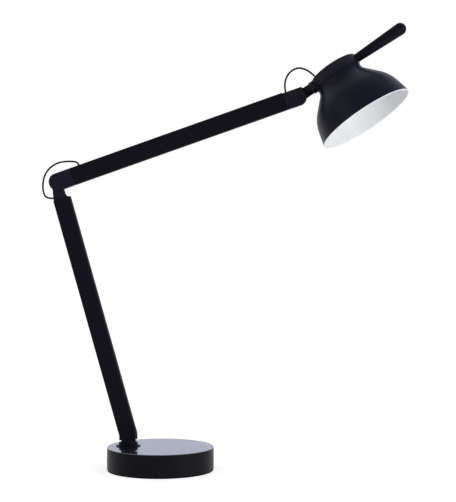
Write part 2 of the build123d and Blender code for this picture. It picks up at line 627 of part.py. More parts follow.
def elbow_tongue():
    """Plug in the tube's square end, waisted neck and the round tongue of the elbow."""
    plug = spigot(SHOULDER - SPIGOT_LENGTH - PLUG_BACK, SHOULDER)
    front = ELBOW_OFFSET + NECK_FRONT_WIDTH
    corner = ARM_DEPTH / 2 - NECK_EDGE
    fillet_top = SHOULDER + NECK_FILLET
    profile = Polyline(
        (LOWER_LENGTH, -front),
        (fillet_top, -front),
    )
    profile += RadiusArc((fillet_top, -front), (SHOULDER, -front - NECK_FILLET), -NECK_FILLET)
    profile += Line((SHOULDER, -front - NECK_FILLET), (SHOULDER, corner))
    back = NECK_BACK_WIDTH - ELBOW_OFFSET
    waist = (LOWER_LENGTH - NECK_WAIST_DROP, back - NECK_WAIST)
    profile += ThreePointArc(
        (SHOULDER, corner),
        (SHOULDER + NECK_SWEEP, (corner + back) / 2 - NECK_SWEEP_SAG),
        waist,
    )
    profile += Polyline(
        waist,
        (LOWER_LENGTH, 0),
        (LOWER_LENGTH, -front),
    )
    outline = make_face(profile)
    outline += Pos(LOWER_LENGTH, -ELBOW_OFFSET) * Circle(ELBOW_END_RADIUS - TONGUE_INSET)
    tongue = plug + side_plate(outline, TONGUE_THICKNESS)
    groove = rod_y(ELBOW_END_RADIUS, -WIRE_GROOVE / 2, WIRE_GROOVE / 2)
    groove -= rod_y(UPPER_WIRE_OFFSET - WIRE_RADIUS - GAP, -WIRE_GROOVE, WIRE_GROOVE)
    tongue -= Pos(LOWER_LENGTH, 0, -ELBOW_OFFSET) * (groove & half_ring())
    tongue -= Pos(LOWER_LENGTH, 0, -ELBOW_OFFSET) * rod_y(
        ARM_AXLE_RADIUS + RUNNING, -ARM_WIDTH, ARM_WIDTH
    )
    return tongue - tube_along(lower_lead_path(), CABLE_HOLE)


def half_ring():
    """The part of the elbow's rim that the pull wire can lie on, away from the neck."""
    reach = ELBOW_END_RADIUS + 1
    back = -ARM_AXLE_RADIUS - WIRE_GROOVE
    return block((back, reach), (-WIRE_GROOVE, WIRE_GROOVE), (-reach, reach))


def elbow_loop_path():
    """The loose cable that loops round the back of the elbow."""
    leave = Vector(ELBOW_EXIT, 0, NECK_BACK + CABLE_MEET)
    arrive = Vector(LEAD_ENTRY, -LEAD_SIDE, ARM_DEPTH / 2 + CABLE_MEET)
    start = LOWER_FRAME.from_local_coords(leave)
    end = UPPER_FRAME.from_local_coords(arrive)
    free = [
        (-21.4, 0.0, -29.2),
        (-28.6, -0.4, -14.0),
        (-27.6, -0.9, 7.0),
        (-18.4, -1.4, 23.2),
        (-2.6, -1.9, 33.4),
        (14.0, -2.3, 35.8),
        (26.5, -2.7, 34.4),
        (33.5, -2.9, 33.0),
    ]
    points = [start] + [ELBOW + Vector(*point) for point in free] + [end]
    return smooth_path([tuple(point) for point in points])


# ---- upper arm ----
def at_both_ends(piece):
    """The same piece at the elbow and at the head pivot."""
    return Compound([piece, Pos(UPPER_LENGTH, 0, -TILT_DROP) * piece])


def elbow_fork():
    """The upper arm's half round rear end, slotted for the tongue of the elbow."""
    outline = Circle(ELBOW_END_RADIUS)
    outline += Pos(UPPER_TUBE_START / 2, 0) * Rectangle(UPPER_TUBE_START, ARM_DEPTH)
    fork = side_plate(outline, ARM_WIDTH)
    fork &= arm_bar(-ARM_DEPTH, UPPER_TUBE_START, ARM_DEPTH, ARM_WIDTH, ARM_CORNER)
    fork += spigot(UPPER_TUBE_START - 1, UPPER_TUBE_START + SPIGOT_LENGTH - PLUG_SHORT)
    half, reach = FORK_SLOT / 2, ARM_DEPTH
    fork -= block((-reach, UPPER_TUBE_START - FORK_BRIDGE), (-half, half), (-reach, reach))
    fork -= pin_holes(ARM_AXLE_RADIUS, ARM_WIDTH)
    return fork - rod_x(2 * WIRE_RADIUS, 0, SPRING_START, z=UPPER_WIRE_OFFSET)


def upper_lead_path():
    """The lead inside the upper arm, in at the top near the elbow and out near the head."""
    top = ARM_DEPTH / 2
    leave = UPPER_LENGTH - LEAD_EXIT_TO_TILT
    points = [
        (LEAD_ENTRY, -LEAD_SIDE, top),
        (LEAD_ENTRY + 3, -LEAD_SIDE, 0),
        (LEAD_ENTRY + LEAD_SLOPE, -LEAD_SIDE, -LEAD_DEPTH),
        (leave - LEAD_SLOPE, -LEAD_SIDE, -LEAD_DEPTH),
        (leave - 2, -LEAD_SIDE, 0),
        (leave, -LEAD_SIDE, top - TILT_DROP),
    ]
    return smooth_path(points)


def upper_lead():
    """The lead inside the upper arm."""
    return tube_along(upper_lead_path(), CABLE_RADIUS)


def upper_arm_tube():
    """The upper arm's tube, with the hole for the cable in its top."""
    tube = arm_tube(UPPER_TUBE_START, SEAM)
    return tube - rod_z(GROMMET_RADIUS + SNUG, 0, ARM_DEPTH, LEAD_ENTRY, -LEAD_SIDE)


def entry_grommet():
    """The small grommet where the cable enters the upper arm."""
    low = ARM_DEPTH / 2 - ARM_WALL - 1
    ring = rod_z(GROMMET_RADIUS, low, ARM_DEPTH / 2, LEAD_ENTRY, -LEAD_SIDE)
    return ring - rod_z(CABLE_HOLE, 0, ARM_DEPTH, LEAD_ENTRY, -LEAD_SIDE)


def head_fork():
    """The upper arm's front end: a slotted block with a stop corner above the head pivot."""
    top = ARM_DEPTH / 2 + TILT_DROP - STOP_DROP
    bottom = ARM_DEPTH / 2 - TILT_DROP
    back = -SEAM_TO_TILT
    stop = (TILT_END_RADIUS - STOP_INSET, top)
    profile = Polyline((0, -bottom), (back, -bottom), (back, top), stop)
    profile += Line(stop, (TILT_END_RADIUS, 0))
    profile += RadiusArc((TILT_END_RADIUS, 0), (0, -bottom), TILT_END_RADIUS)
    outline = make_face(profile)
    outline = fillet(outline.vertices().sort_by(Axis.Y)[-1:], STOP_CORNER)
    block_end = Pos(UPPER_LENGTH, 0, -TILT_DROP) * side_plate(outline, ARM_WIDTH)
    start = UPPER_LENGTH - SEAM_TO_TILT
    block_end &= arm_bar(start, UPPER_LENGTH + ARM_DEPTH, ARM_DEPTH, ARM_WIDTH, ARM_CORNER)
    fork = block_end + spigot(start - SEAM_GAP - SPIGOT_LENGTH, start + 1)
    half, reach = FORK_SLOT / 2, ARM_DEPTH
    slot = block((-TILT_END_RADIUS - SLOT_BACK_GAP, reach), (-half, half), (-reach, reach))
    fork -= Pos(UPPER_LENGTH, 0, -TILT_DROP) * (slot + pin_holes(ARM_AXLE_RADIUS, ARM_WIDTH))
    return fork - tube_along(upper_lead_path(), CABLE_HOLE)


# ---- neck, in the neck's frame ----
def neck():
    """The round neck with a flat tongue for the head pivot."""
    outline = Circle(TILT_END_RADIUS - TONGUE_ROUND_INSET)
    outline += Pos(NECK_START / 2, 0) * Rectangle(NECK_START + 0.2, 2 * NECK_RADIUS)
    barrel = rod_x(NECK_RADIUS, NECK_START, NECK_END)
    barrel = chamfer(barrel.edges().sort_by(Axis.X)[0], NECK_START_EDGE)
    body = side_plate(outline, TONGUE_THICKNESS) + barrel
    body -= rod_y(ARM_AXLE_RADIUS + RUNNING, -ARM_WIDTH, ARM_WIDTH)
    return body - rod_x(SPINDLE_RADIUS + SNUG, NECK_START, NECK_END + 1)


def roll_spindle():
    """The spindle in the neck that the hub rolls on."""
    return rod_x(SPINDLE_RADIUS, NECK_START, SHADE_OFFSET - BEARING_END + ROLL_NUT_LENGTH + 1)


def roll_washer():
    """The friction washer between the neck's end and the hub's boss."""
    washer = rod_x(NECK_RADIUS, NECK_END, NECK_END + ROLL_WASHER)
    return washer - rod_x(SPINDLE_RADIUS + RUNNING, 0, SHADE_OFFSET)


def roll_nut():
    """The round nut on the spindle's end inside the hub."""
    start = SHADE_OFFSET - BEARING_END + SEAT
    nut = rod_x(ROLL_NUT_RADIUS, start, start + ROLL_NUT_LENGTH)
    return nut - rod_x(SPINDLE_RADIUS + SNUG, 0, SHADE_OFFSET)


def head_loop_points():
    """The loose cable from the upper arm's front end over to the hub's cap, all its points."""
    top = ARM_DEPTH / 2 - TILT_DROP + CABLE_MEET
    leave = Vector(UPPER_LENGTH - LEAD_EXIT_TO_TILT, -LEAD_SIDE, top)
    start = UPPER_FRAME.from_local_coords(leave)
    end = HEAD_FRAME.from_local_coords(Vector(CAP_ENTRY, 0, HUB_TOP - 1))
    free = [
        (-23.4, -2.4, 19.0),
        (-22.6, -1.9, 33.0),
        (-14.6, -1.3, 45.2),
        (-1.5, -0.6, 51.6),
        (11.5, 0.4, 49.6),
        (22.6, 1.5, 42.6),
    ]
    return [start] + [TILT + Vector(*point) for point in free] + [end]


def split_loop():
    """The loop's points in two runs that meet in the middle of its topmost straight."""
    points = head_loop_points()
    middle = (points[4] + points[5]) / 2
    return points[:5] + [middle], [middle] + points[5:]


def head_loop(part):
    """One of the loop's two runs as a round solid."""
    return tube_along(smooth_path([tuple(point) for point in split_loop()[part]]), CABLE_RADIUS)


# ---- hub and shade, in the head's frame ----
def hub_ring():
    """The flat round hub: grooved wall, web, roll bearing, and seats for handle and cap."""
    ring = rod_z(HUB_RADIUS, HUB_BOTTOM, HUB_TOP)
    ring = fillet(ring.edges().sort_by(Axis.Z)[-1], HUB_EDGE)
    ring -= rod_z(HUB_INNER, WEB_TOP, HUB_TOP + 1)
    ring -= rod_z(CAP_RADIUS + SEAT, CAP_UNDER, HUB_TOP + 1)
    groove = rod_z(HUB_RADIUS + 1, GROOVE_TOP - HUB_GROOVE, GROOVE_TOP)
    ring -= groove - rod_z(HUB_RADIUS - HUB_GROOVE, -HUB_RADIUS, HUB_RADIUS)
    ring += rod_x(HUB_BOSS_RADIUS, -HUB_BOSS_FACE, -HUB_INNER - 1)
    ring -= rod_z(SHADE_NECK_RADIUS + SEAT / 2, -HUB_RADIUS, WEB_BOTTOM)
    inner = rod_z(HUB_INNER + 0.5, WEB_TOP - 0.5, CAP_UNDER - 0.5)
    height = (-HUB_RADIUS, HUB_RADIUS)
    half = BEARING_HALF_WIDTH
    ring += inner & block((-HUB_INNER - 1, -BEARING_END), (-half, half), height)
    half = HANDLE_PAD_HALF_WIDTH
    ring += inner & block((HUB_INNER - HANDLE_PAD, HUB_INNER + 1), (-half, half), height)
    for y in (-CAP_SCREW_RING, CAP_SCREW_RING):
        ring += rod_z(CAP_PILLAR_RADIUS, WEB_TOP - 0.5, CAP_UNDER, y=y)
        ring -= rod_z(CAP_SCREW_RADIUS + SNUG, WEB_TOP, HUB_TOP, y=y)
    ring -= rod_x(SPINDLE_RADIUS + RUNNING, -HUB_BOSS_FACE - 1, 0)
    ring -= rod_x(HANDLE_SCREW_RADIUS + SEAT, 0, HUB_RADIUS + 1)
    tap = rod_z(SHADE_SCREW_RADIUS + SNUG, WEB_BOTTOM - 1, WEB_TOP + 1)
    return ring - [place * tap for place in shade_screw_places()]


def shade_screw_places():
    """Where the three screws of the shade stand."""
    return PolarLocations(SHADE_SCREW_RING, 3, start_angle=30)


def hub_cap():
    """The flat cap in the hub's rebate, with holes for button, cable and screws."""
    cap = rod_z(CAP_RADIUS, CAP_UNDER, HUB_TOP)
    cap -= rod_z(BUTTON_RADIUS + GAP, 0, HUB_TOP + 1)
    cap -= rod_z(GROMMET_RADIUS + SNUG, 0, HUB_TOP + 1, CAP_ENTRY)
    for y in (-CAP_SCREW_RING, CAP_SCREW_RING):
        cap -= rod_z(CAP_SCREW_RADIUS + SEAT, 0, HUB_TOP, y=y)
        cap -= rod_z(CAP_SCREW_HEAD + SEAT, HUB_TOP - CAP_SCREW_HEAD_DEPTH, HUB_TOP + 1, y=y)
    return cap


def cap_screws():
    """Two small flat-headed screws that hold the cap."""
    head = rod_z(CAP_SCREW_HEAD, HUB_TOP - CAP_SCREW_HEAD_DEPTH, HUB_TOP - SEAT)
    reach, half = CAP_SLOT_REACH, CAP_SLOT_WIDTH / 2
    head -= block((-reach, reach), (-half, half), (HUB_TOP - CAP_SLOT_WIDTH, HUB_TOP))
    screw = head + rod_z(CAP_SCREW_RADIUS, WEB_TOP + 0.5, HUB_TOP - CAP_SCREW_HEAD_DEPTH + 0.2)
    return Compound([Pos(0, y, 0) * screw for y in (-CAP_SCREW_RING, CAP_SCREW_RING)])


def cap_grommet():
    """The grommet where the cable enters the cap."""
    ring = rod_z(GROMMET_RADIUS, CAP_UNDER, HUB_TOP, CAP_ENTRY)
    return ring - rod_z(CABLE_HOLE, 0, HUB_RADIUS, CAP_ENTRY)


def shade_line(inset, top):
    """The shade's line from top down to the rim, moved inwards square to itself by inset."""
    radius = SHADE_NECK_RADIUS - inset
    straight = Line((radius, top), (radius, SHADE_NECK_END))
    flare = JernArc(straight @ 1, (0, -1), FLARE_RADIUS + inset, SLOPE_ANGLE)
    slope = Line(flare @ 1, flare @ 1 + SLOPE_LENGTH * (flare % 1))
    bowl = JernArc(slope @ 1, slope % 1, BOWL_RADIUS - inset, BOWL_END_ANGLE - SLOPE_ANGLE)
    edge = bowl @ 1
    drop = edge.Y + RIM_DEPTH + inset * sin(radians(BOWL_END_ANGLE))
    skirt = JernArc(edge, bowl % 1, SKIRT_RADIUS - inset, -drop / SKIRT_RADIUS * 180 / pi)
    return straight + flare + slope + bowl + skirt


def between_lines(outer, inner):
    """The solid of revolution between two of the shade's lines, closed at both ends."""
    profile = outer + inner
    profile += Line(outer @ 0, inner @ 0)
    profile += Line(outer @ 1, inner @ 1)
    return revolve(Plane.XZ * make_face(profile.edges()), Axis.Z)


def shade():
    """The spun bell with the flange that the hub's screws hold."""
    bell = between_lines(shade_line(0, WEB_BOTTOM), shade_line(SHADE_WALL, WEB_BOTTOM))
    flange_low = WEB_BOTTOM - SHADE_WALL
    flange = rod_z(SHADE_NECK_RADIUS - 0.5, flange_low, WEB_BOTTOM)
    bell += flange - rod_z(FLANGE_INNER, -HUB_RADIUS, 0)
    hole = rod_z(SHADE_SCREW_RADIUS + SEAT, -HUB_RADIUS, 0)
    return bell - [place * hole for place in shade_screw_places()]


def shade_screws():
    """Three round-headed screws up through the flange into the hub's web."""
    under = WEB_BOTTOM - SHADE_WALL
    screw = rod_z(SHADE_SCREW_RADIUS, under - 0.5, WEB_TOP)
    screw += rod_z(SHADE_SCREW_HEAD, under - SHADE_SCREW_HEAD_HEIGHT, under)
    return Compound([place * screw for place in shade_screw_places()])


def reflector():
    """The white liner inside the bell, turned out under the bell's edge as a lip."""
    top = WEB_BOTTOM - SHADE_WALL
    outer, inner = shade_line(SHADE_WALL, top), shade_line(SHADE_WALL + LINER_WALL, top)
    liner = between_lines(outer, inner)
    bell_edge, way = shade_line(0, top) @ 1, shade_line(0, top) % 1
    liner_edge = inner @ 1
    drop = LIP_THICKNESS * way
    lip = Polyline(bell_edge, bell_edge + drop, liner_edge + drop, liner_edge, bell_edge)
    return liner + revolve(Plane.XZ * make_face(lip), Axis.Z)


def heat_sink():
    """The round finned block behind the light board."""
    low = WEB_BOTTOM - SINK_HEIGHT
    sink = rod_z(SINK_RADIUS, low, WEB_BOTTOM)
    half = SINK_SLOT / 2
    outside = (BOARD_RADIUS + SINK_SLOT / 2, SINK_RADIUS + 1)
    slot = block(outside, (-half, half), (low + SINK_FLOOR, WEB_BOTTOM + 1))
    return sink - [place * slot for place in PolarLocations(0, SINK_FINS)]


def led_board():
    """The round light board with a ring of chips and one in the middle."""
    top = WEB_BOTTOM - SINK_HEIGHT
    board = rod_z(BOARD_RADIUS, top - BOARD_THICKNESS, top)
    low = top - BOARD_THICKNESS
    half = CHIP_SIDE / 2
    chip = block((-half, half), (-half, half), (low - CHIP_HEIGHT, low))
    return board + chip + [place * chip for place in PolarLocations(CHIP_RING, CHIP_COUNT)]


def diffuser():
    """The opal cup over the light board, its skirt up against the flange."""
    radius = SHADE_NECK_RADIUS - SHADE_WALL - LINER_WALL - GAP
    low = DIFFUSER_FACE - DIFFUSER_THICKNESS
    cup = rod_z(radius, low, WEB_BOTTOM - SHADE_WALL)
    cup = fillet(cup.edges().sort_by(Axis.Z)[0], DIFFUSER_EDGE)
    return cup - rod_z(radius - DIFFUSER_THICKNESS, DIFFUSER_FACE, 0)


def switch_body():
    """The push switch's housing between web and cap."""
    body = rod_z(SWITCH_RADIUS, WEB_TOP, CAP_UNDER)
    body -= rod_z(BUTTON_RADIUS + GAP, 0, CAP_UNDER + 1)
    return body - rod_z(STEM_RADIUS + GAP, WEB_TOP + SWITCH_FLOOR, 1)


def switch_button():
    """The round push button with its stem down into the switch."""
    head = rod_z(BUTTON_RADIUS, SWITCH_SHELF, HUB_TOP + BUTTON_PROUD)
    head = fillet(head.edges().sort_by(Axis.Z)[-1], BUTTON_EDGE)
    stem_end = WEB_TOP + SWITCH_FLOOR + GAP + BUTTON_TRAVEL
    return head + rod_z(STEM_RADIUS, stem_end, SWITCH_SHELF + 0.5)


def button_spring():
    """The return spring round the button's stem, as a sleeve."""
    sleeve = rod_z(BUTTON_SPRING_RADIUS, 0, SWITCH_SHELF)
    return sleeve - rod_z(STEM_RADIUS + 2 * GAP, -1, HUB_TOP)


def handle():
    """The stick that the head is aimed by: thicker towards its round end."""
    root, tip = HUB_RADIUS - HANDLE_SEAT, HANDLE_TIP_CENTRE
    end = tip + HANDLE_TIP_RADIUS
    profile = Polyline((root, 0), (root, HANDLE_ROOT_RADIUS), (tip, HANDLE_TIP_RADIUS))
    profile += RadiusArc((tip, HANDLE_TIP_RADIUS), (end, 0), HANDLE_TIP_RADIUS)
    profile += Line((end, 0), (root, 0))
    stick = revolve(Plane.XZ * make_face(profile), Axis.X)
    stick -= rod_z(HUB_RADIUS + RUNNING, -HUB_RADIUS, HUB_RADIUS)
    depth = HUB_RADIUS + HANDLE_SCREW_REACH + 1
    return stick - rod_x(HANDLE_SCREW_RADIUS + SNUG, root - 1, depth)


def handle_screw():
    """The screw from inside the hub that holds the handle."""
    seat = HUB_INNER - HANDLE_PAD
    head = rod_x(HANDLE_SCREW_HEAD, seat - HANDLE_SCREW_HEAD_HEIGHT, seat)
    return head + rod_x(HANDLE_SCREW_RADIUS, seat - 1, HUB_RADIUS + HANDLE_SCREW_REACH)


def main():
    os.makedirs("parts", exist_ok=True)
    post = Plane(origin=(POST_X, 0, PIVOT_Z))
    tilt = Plane(origin=TILT, x_dir=UPPER_FRAME.x_dir, z_dir=UPPER_FRAME.z_dir)
    world = {
        "base_cover": base_cover(),
        "base_ballast": base_ballast(),
        "base_plate": base_plate(),
        "base_screws": base_screws(),
        "foot_pad": foot_pad(),
        "inlet_grommet": inlet_grommet(),
        "swivel_rosette": swivel_rosette(),
        "swivel_bush": swivel_bush(),
        "swivel_knuckle": swivel_knuckle(),
        "swivel_shaft": swivel_shaft(),
        "swivel_washer": swivel_washer(),
        "swivel_nut": swivel_nut(),
        "elbow_loop": tube_along(elbow_loop_path(), CABLE_RADIUS),
        "head_loop_arm_side": head_loop(0),
        "head_loop_hub_side": head_loop(1),
    }
    at_post = {
        "lower_axle": pivot_pin(LOWER_AXLE_RADIUS, KNUCKLE_DEPTH),
        "lower_axle_nut": pivot_nut(LOWER_AXLE_RADIUS, KNUCKLE_DEPTH),
        "lower_washers": friction_washers(LOWER_AXLE_RADIUS, LOWER_WASHER_RADIUS, KNUCKLE_SLOT),
        "lower_drum": lower_drum(),
    }
    in_lower_arm = {
        "lower_foot": lower_foot(),
        "lower_arm_tube": arm_tube(LOWER_TUBE_START, SHOULDER),
        "lower_pull_wire": pull_wire(LOWER_WIRE_OFFSET),
        "lower_spring": balance_spring(LOWER_WIRE_OFFSET),
        "lower_spring_block": spring_block(LOWER_WIRE_OFFSET, 0, LOWER_LEAD_SIDE),
        "lower_tension_nut": tension_nut(LOWER_WIRE_OFFSET),
        "lower_lead": lower_lead(),
        "elbow_tongue": elbow_tongue(),
    }
    in_upper_arm = {
        "elbow_fork": elbow_fork(),
        "arm_axles": at_both_ends(pivot_pin(ARM_AXLE_RADIUS, ARM_WIDTH)),
        "arm_axle_nuts": at_both_ends(pivot_nut(ARM_AXLE_RADIUS, ARM_WIDTH)),
        "elbow_washers": friction_washers(ARM_AXLE_RADIUS, ELBOW_WASHER_RADIUS, FORK_SLOT),
        "upper_arm_tube": upper_arm_tube(),
        "upper_pull_wire": pull_wire(UPPER_WIRE_OFFSET),
        "upper_spring": balance_spring(UPPER_WIRE_OFFSET),
        "upper_spring_block": spring_block(UPPER_WIRE_OFFSET, -LEAD_SIDE, -LEAD_DEPTH),
        "upper_tension_nut": tension_nut(UPPER_WIRE_OFFSET),
        "upper_lead": upper_lead(),
        "entry_grommet": entry_grommet(),
        "head_fork": head_fork(),
    }
    at_tilt = {"tilt_washers": friction_washers(ARM_AXLE_RADIUS, TILT_WASHER_RADIUS, FORK_SLOT)}
    in_neck = {
        "neck": neck(),
        "roll_spindle": roll_spindle(),
        "roll_washer": roll_washer(),
        "roll_nut": roll_nut(),
    }
    in_head = {
        "hub_ring": hub_ring(),
        "hub_cap": hub_cap(),
        "cap_screws": cap_screws(),
        "cap_grommet": cap_grommet(),
        "shade": shade(),
        "shade_screws": shade_screws(),
        "reflector": reflector(),
        "heat_sink": heat_sink(),
        "led_board": led_board(),
        "diffuser": diffuser(),
        "switch_body": switch_body(),
        "switch_button": switch_button(),
        "button_spring": button_spring(),
        "handle": handle(),
        "handle_screw": handle_screw(),
    }
    groups = [
        (Plane.XY, world),
        (post, at_post),
        (LOWER_FRAME, in_lower_arm),
        (UPPER_FRAME, in_upper_arm),
        (tilt, at_tilt),
        (NECK_FRAME, in_neck),
        (HEAD_FRAME, in_head),
    ]
    for frame, pieces in groups:
        for name, shape in pieces.items():
            export_step(frame.location * shape, "parts/" + name + ".step")
    print("elbow", tuple(ELBOW), "tilt", tuple(TILT), "shade axis", tuple(HEAD_FRAME.origin))
    print("shade up", tuple(HEAD_FRAME.z_dir), "neck", tuple(HEAD_FRAME.x_dir))


main()
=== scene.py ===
"""Balanced two-arm desk lamp: finishes, loose cables, small trim and a plain studio."""

import json
import logging
import math
from collections.abc import Mapping, Sequence
from dataclasses import dataclass
from enum import Enum
from typing import ClassVar

import bmesh
import bpy
from mathutils import Matrix, Vector


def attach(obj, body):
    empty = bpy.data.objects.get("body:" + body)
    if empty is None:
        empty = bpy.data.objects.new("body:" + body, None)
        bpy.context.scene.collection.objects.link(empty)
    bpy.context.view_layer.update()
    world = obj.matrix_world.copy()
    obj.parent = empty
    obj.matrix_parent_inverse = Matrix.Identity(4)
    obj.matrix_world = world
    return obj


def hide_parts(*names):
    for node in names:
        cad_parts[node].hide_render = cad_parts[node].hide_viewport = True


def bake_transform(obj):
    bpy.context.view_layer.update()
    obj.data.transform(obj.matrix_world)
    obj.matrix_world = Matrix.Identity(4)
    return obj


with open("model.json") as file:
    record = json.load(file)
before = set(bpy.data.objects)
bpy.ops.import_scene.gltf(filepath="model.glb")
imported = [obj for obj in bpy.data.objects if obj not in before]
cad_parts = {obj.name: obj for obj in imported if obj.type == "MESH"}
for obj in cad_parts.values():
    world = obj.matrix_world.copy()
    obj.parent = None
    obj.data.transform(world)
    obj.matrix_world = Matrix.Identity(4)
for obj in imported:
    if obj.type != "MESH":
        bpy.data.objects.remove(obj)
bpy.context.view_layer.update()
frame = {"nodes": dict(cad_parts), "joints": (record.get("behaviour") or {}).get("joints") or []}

LOG = logging.getLogger("desk_lamp")
MM = 0.001
Colour = tuple[float, float, float]
Point = tuple[float, float, float]
WHITE: Colour = (1.0, 1.0, 1.0)


class Slot(Enum):
    """Material slots of the record, listed here; the new pieces don't take their finish from them.
    """

    CABLE = "cable_black"
    BUSH = "bush_plastic"
    RUBBER = "rubber_black"


class Joint(Enum):
    """Pairs of bodies that a loose cable bends between."""

    ELBOW = ("lower_arm", "upper_arm")
    HEAD_TILT = ("upper_arm", "head_yoke")
    HEAD_ROLL = ("head_yoke", "head")


# ---- places ----
@dataclass(frozen=True)
class Place:
    """A local frame of the lamp. Its origin is in metres, its own coordinates in millimetres."""

    origin: Vector
    x: Vector
    z: Vector

    @property
    def y(self) -> Vector:
        """The third axis, by the right-hand rule."""
        return self.z.cross(self.x)

    def point(self, x: float, y: float, z: float) -> Vector:
        """A point of this frame, given in millimetres, in metres of the lamp's frame."""
        return self.origin + (self.x * x + self.y * y + self.z * z) * MM

    def matrix(self) -> Matrix:
        """What turns and moves a mesh in local metres into place."""
        turned = Matrix((self.x, self.y, self.z)).transposed().to_4x4()
        return Matrix.Translation(self.origin) @ turned


def rising(angle: float) -> tuple[Vector, Vector]:
    """A direction in the middle plane and its upper side.

    Args:
        angle: degrees above +X.

    Returns:
        The direction and the one square to it, a quarter turn on.
    """
    turn = math.radians(angle)
    along, up = math.cos(turn), math.sin(turn)
    return Vector((along, 0, up)), Vector((-up, 0, along))


@dataclass(frozen=True)
class Pose:
    """The lamp's rest pose as the frame's joints give it, with the angles of its arms."""

    lower_lean: float = 15.78
    upper_rise: float = 19.11
    neck_rise: float = 33.62
    head_roll: float = 8.74

    @staticmethod
    def pivot(name: str) -> Vector:
        """Where a joint of the frame turns."""
        return Vector(next(joint["pos_m"] for joint in frame["joints"] if joint["name"] == name))

    def base(self) -> Place:
        """The base: Z up, the origin under its middle."""
        return Place(Vector((0, 0, 0)), Vector((1, 0, 0)), Vector((0, 0, 1)))

    def post(self) -> Place:
        """The post: Z up its axis, the origin at its foot."""
        return Place(self.pivot("swivel"), Vector((1, 0, 0)), Vector((0, 0, 1)))

    def lower_arm(self) -> Place:
        """The lower arm: X up along it, Z to its back."""
        along, across = rising(90 + self.lower_lean)
        return Place(self.pivot("lower_lean"), along, across)

    def upper_arm(self) -> Place:
        """The upper arm: X out along it, Z to its top."""
        return Place(self.pivot("elbow"), *rising(self.upper_rise))

    def neck(self) -> Place:
        """The neck of the head: X along it."""
        return Place(self.pivot("head_tilt"), *rising(self.neck_rise))

    def head(self) -> Place:
        """The head: X along the neck's line, Z up the shade's axis.

        Returns:
            The place, with its origin where the head rolls.
        """
        along, upper = rising(self.neck_rise)
        roll = math.radians(self.head_roll)
        up = upper * math.cos(roll) + Vector((0, 1, 0)) * math.sin(roll)
        return Place(self.pivot("head_roll"), along, up)


# ---- shader tools ----
class Value:
    """A shader output that Python's operators add Math nodes to."""

    def __init__(self, shader: "Shader", socket: bpy.types.NodeSocket) -> None:
        """Wraps a node's output socket."""
        self.shader = shader
        self.socket = socket

    def math(self, operation: str, *inputs: "Value | float", clamp: bool = False) -> "Value":
        """Adds one Math node.

        Args:
            operation: the node's operation.
            inputs: what goes into its sockets, in order.
            clamp: whether the result is kept between 0 and 1.

        Returns:
            The node's output.
        """
        settings = {"operation": operation, "use_clamp": clamp}
        return self.shader.value("ShaderNodeMath", settings, dict(enumerate(inputs)))

    def __add__(self, other: "Value | float") -> "Value":
        """This plus other."""
        return self.math("ADD", self, other)

    __radd__ = __add__

    def __sub__(self, other: "Value | float") -> "Value":
        """This minus other."""
        return self.math("SUBTRACT", self, other)

    def __rsub__(self, other: "Value | float") -> "Value":
        """Other minus this."""
        return self.math("SUBTRACT", other, self)

    def __mul__(self, other: "Value | float") -> "Value":
        """This times other."""
        return self.math("MULTIPLY", self, other)

    __rmul__ = __mul__

    def __truediv__(self, other: "Value | float") -> "Value":
        """This over other."""
        return self.math("DIVIDE", self, other)

    def __rtruediv__(self, other: "Value | float") -> "Value":
        """Other over this."""
        return self.math("DIVIDE", other, self)

    def __abs__(self) -> "Value":
        """This without its sign."""
        return self.math("ABSOLUTE", self)

    def at_least(self, other: "Value | float") -> "Value":
        """The larger of this and other."""
        return self.math("MAXIMUM", self, other)

    def at_most(self, other: "Value | float") -> "Value":
        """The smaller of this and other."""
        return self.math("MINIMUM", self, other)

    def hypot(self, other: "Value") -> "Value":
        """The length of the diagonal of this and other."""
        return self.math("SQRT", self * self + other * other)

    def eased(self, start: float, end: float) -> "Value":
        """A smooth step of this.

        Args:
            start: where the step is 0.
            end: where the step is 1.

        Returns:
            The step, held at 0 and 1 outside.
        """
        settings = {"interpolation_type": "SMOOTHSTEP", "clamp": True}
        sockets = {"Value": self, "From Min": start, "From Max": end}
        return self.shader.value("ShaderNodeMapRange", settings, sockets)


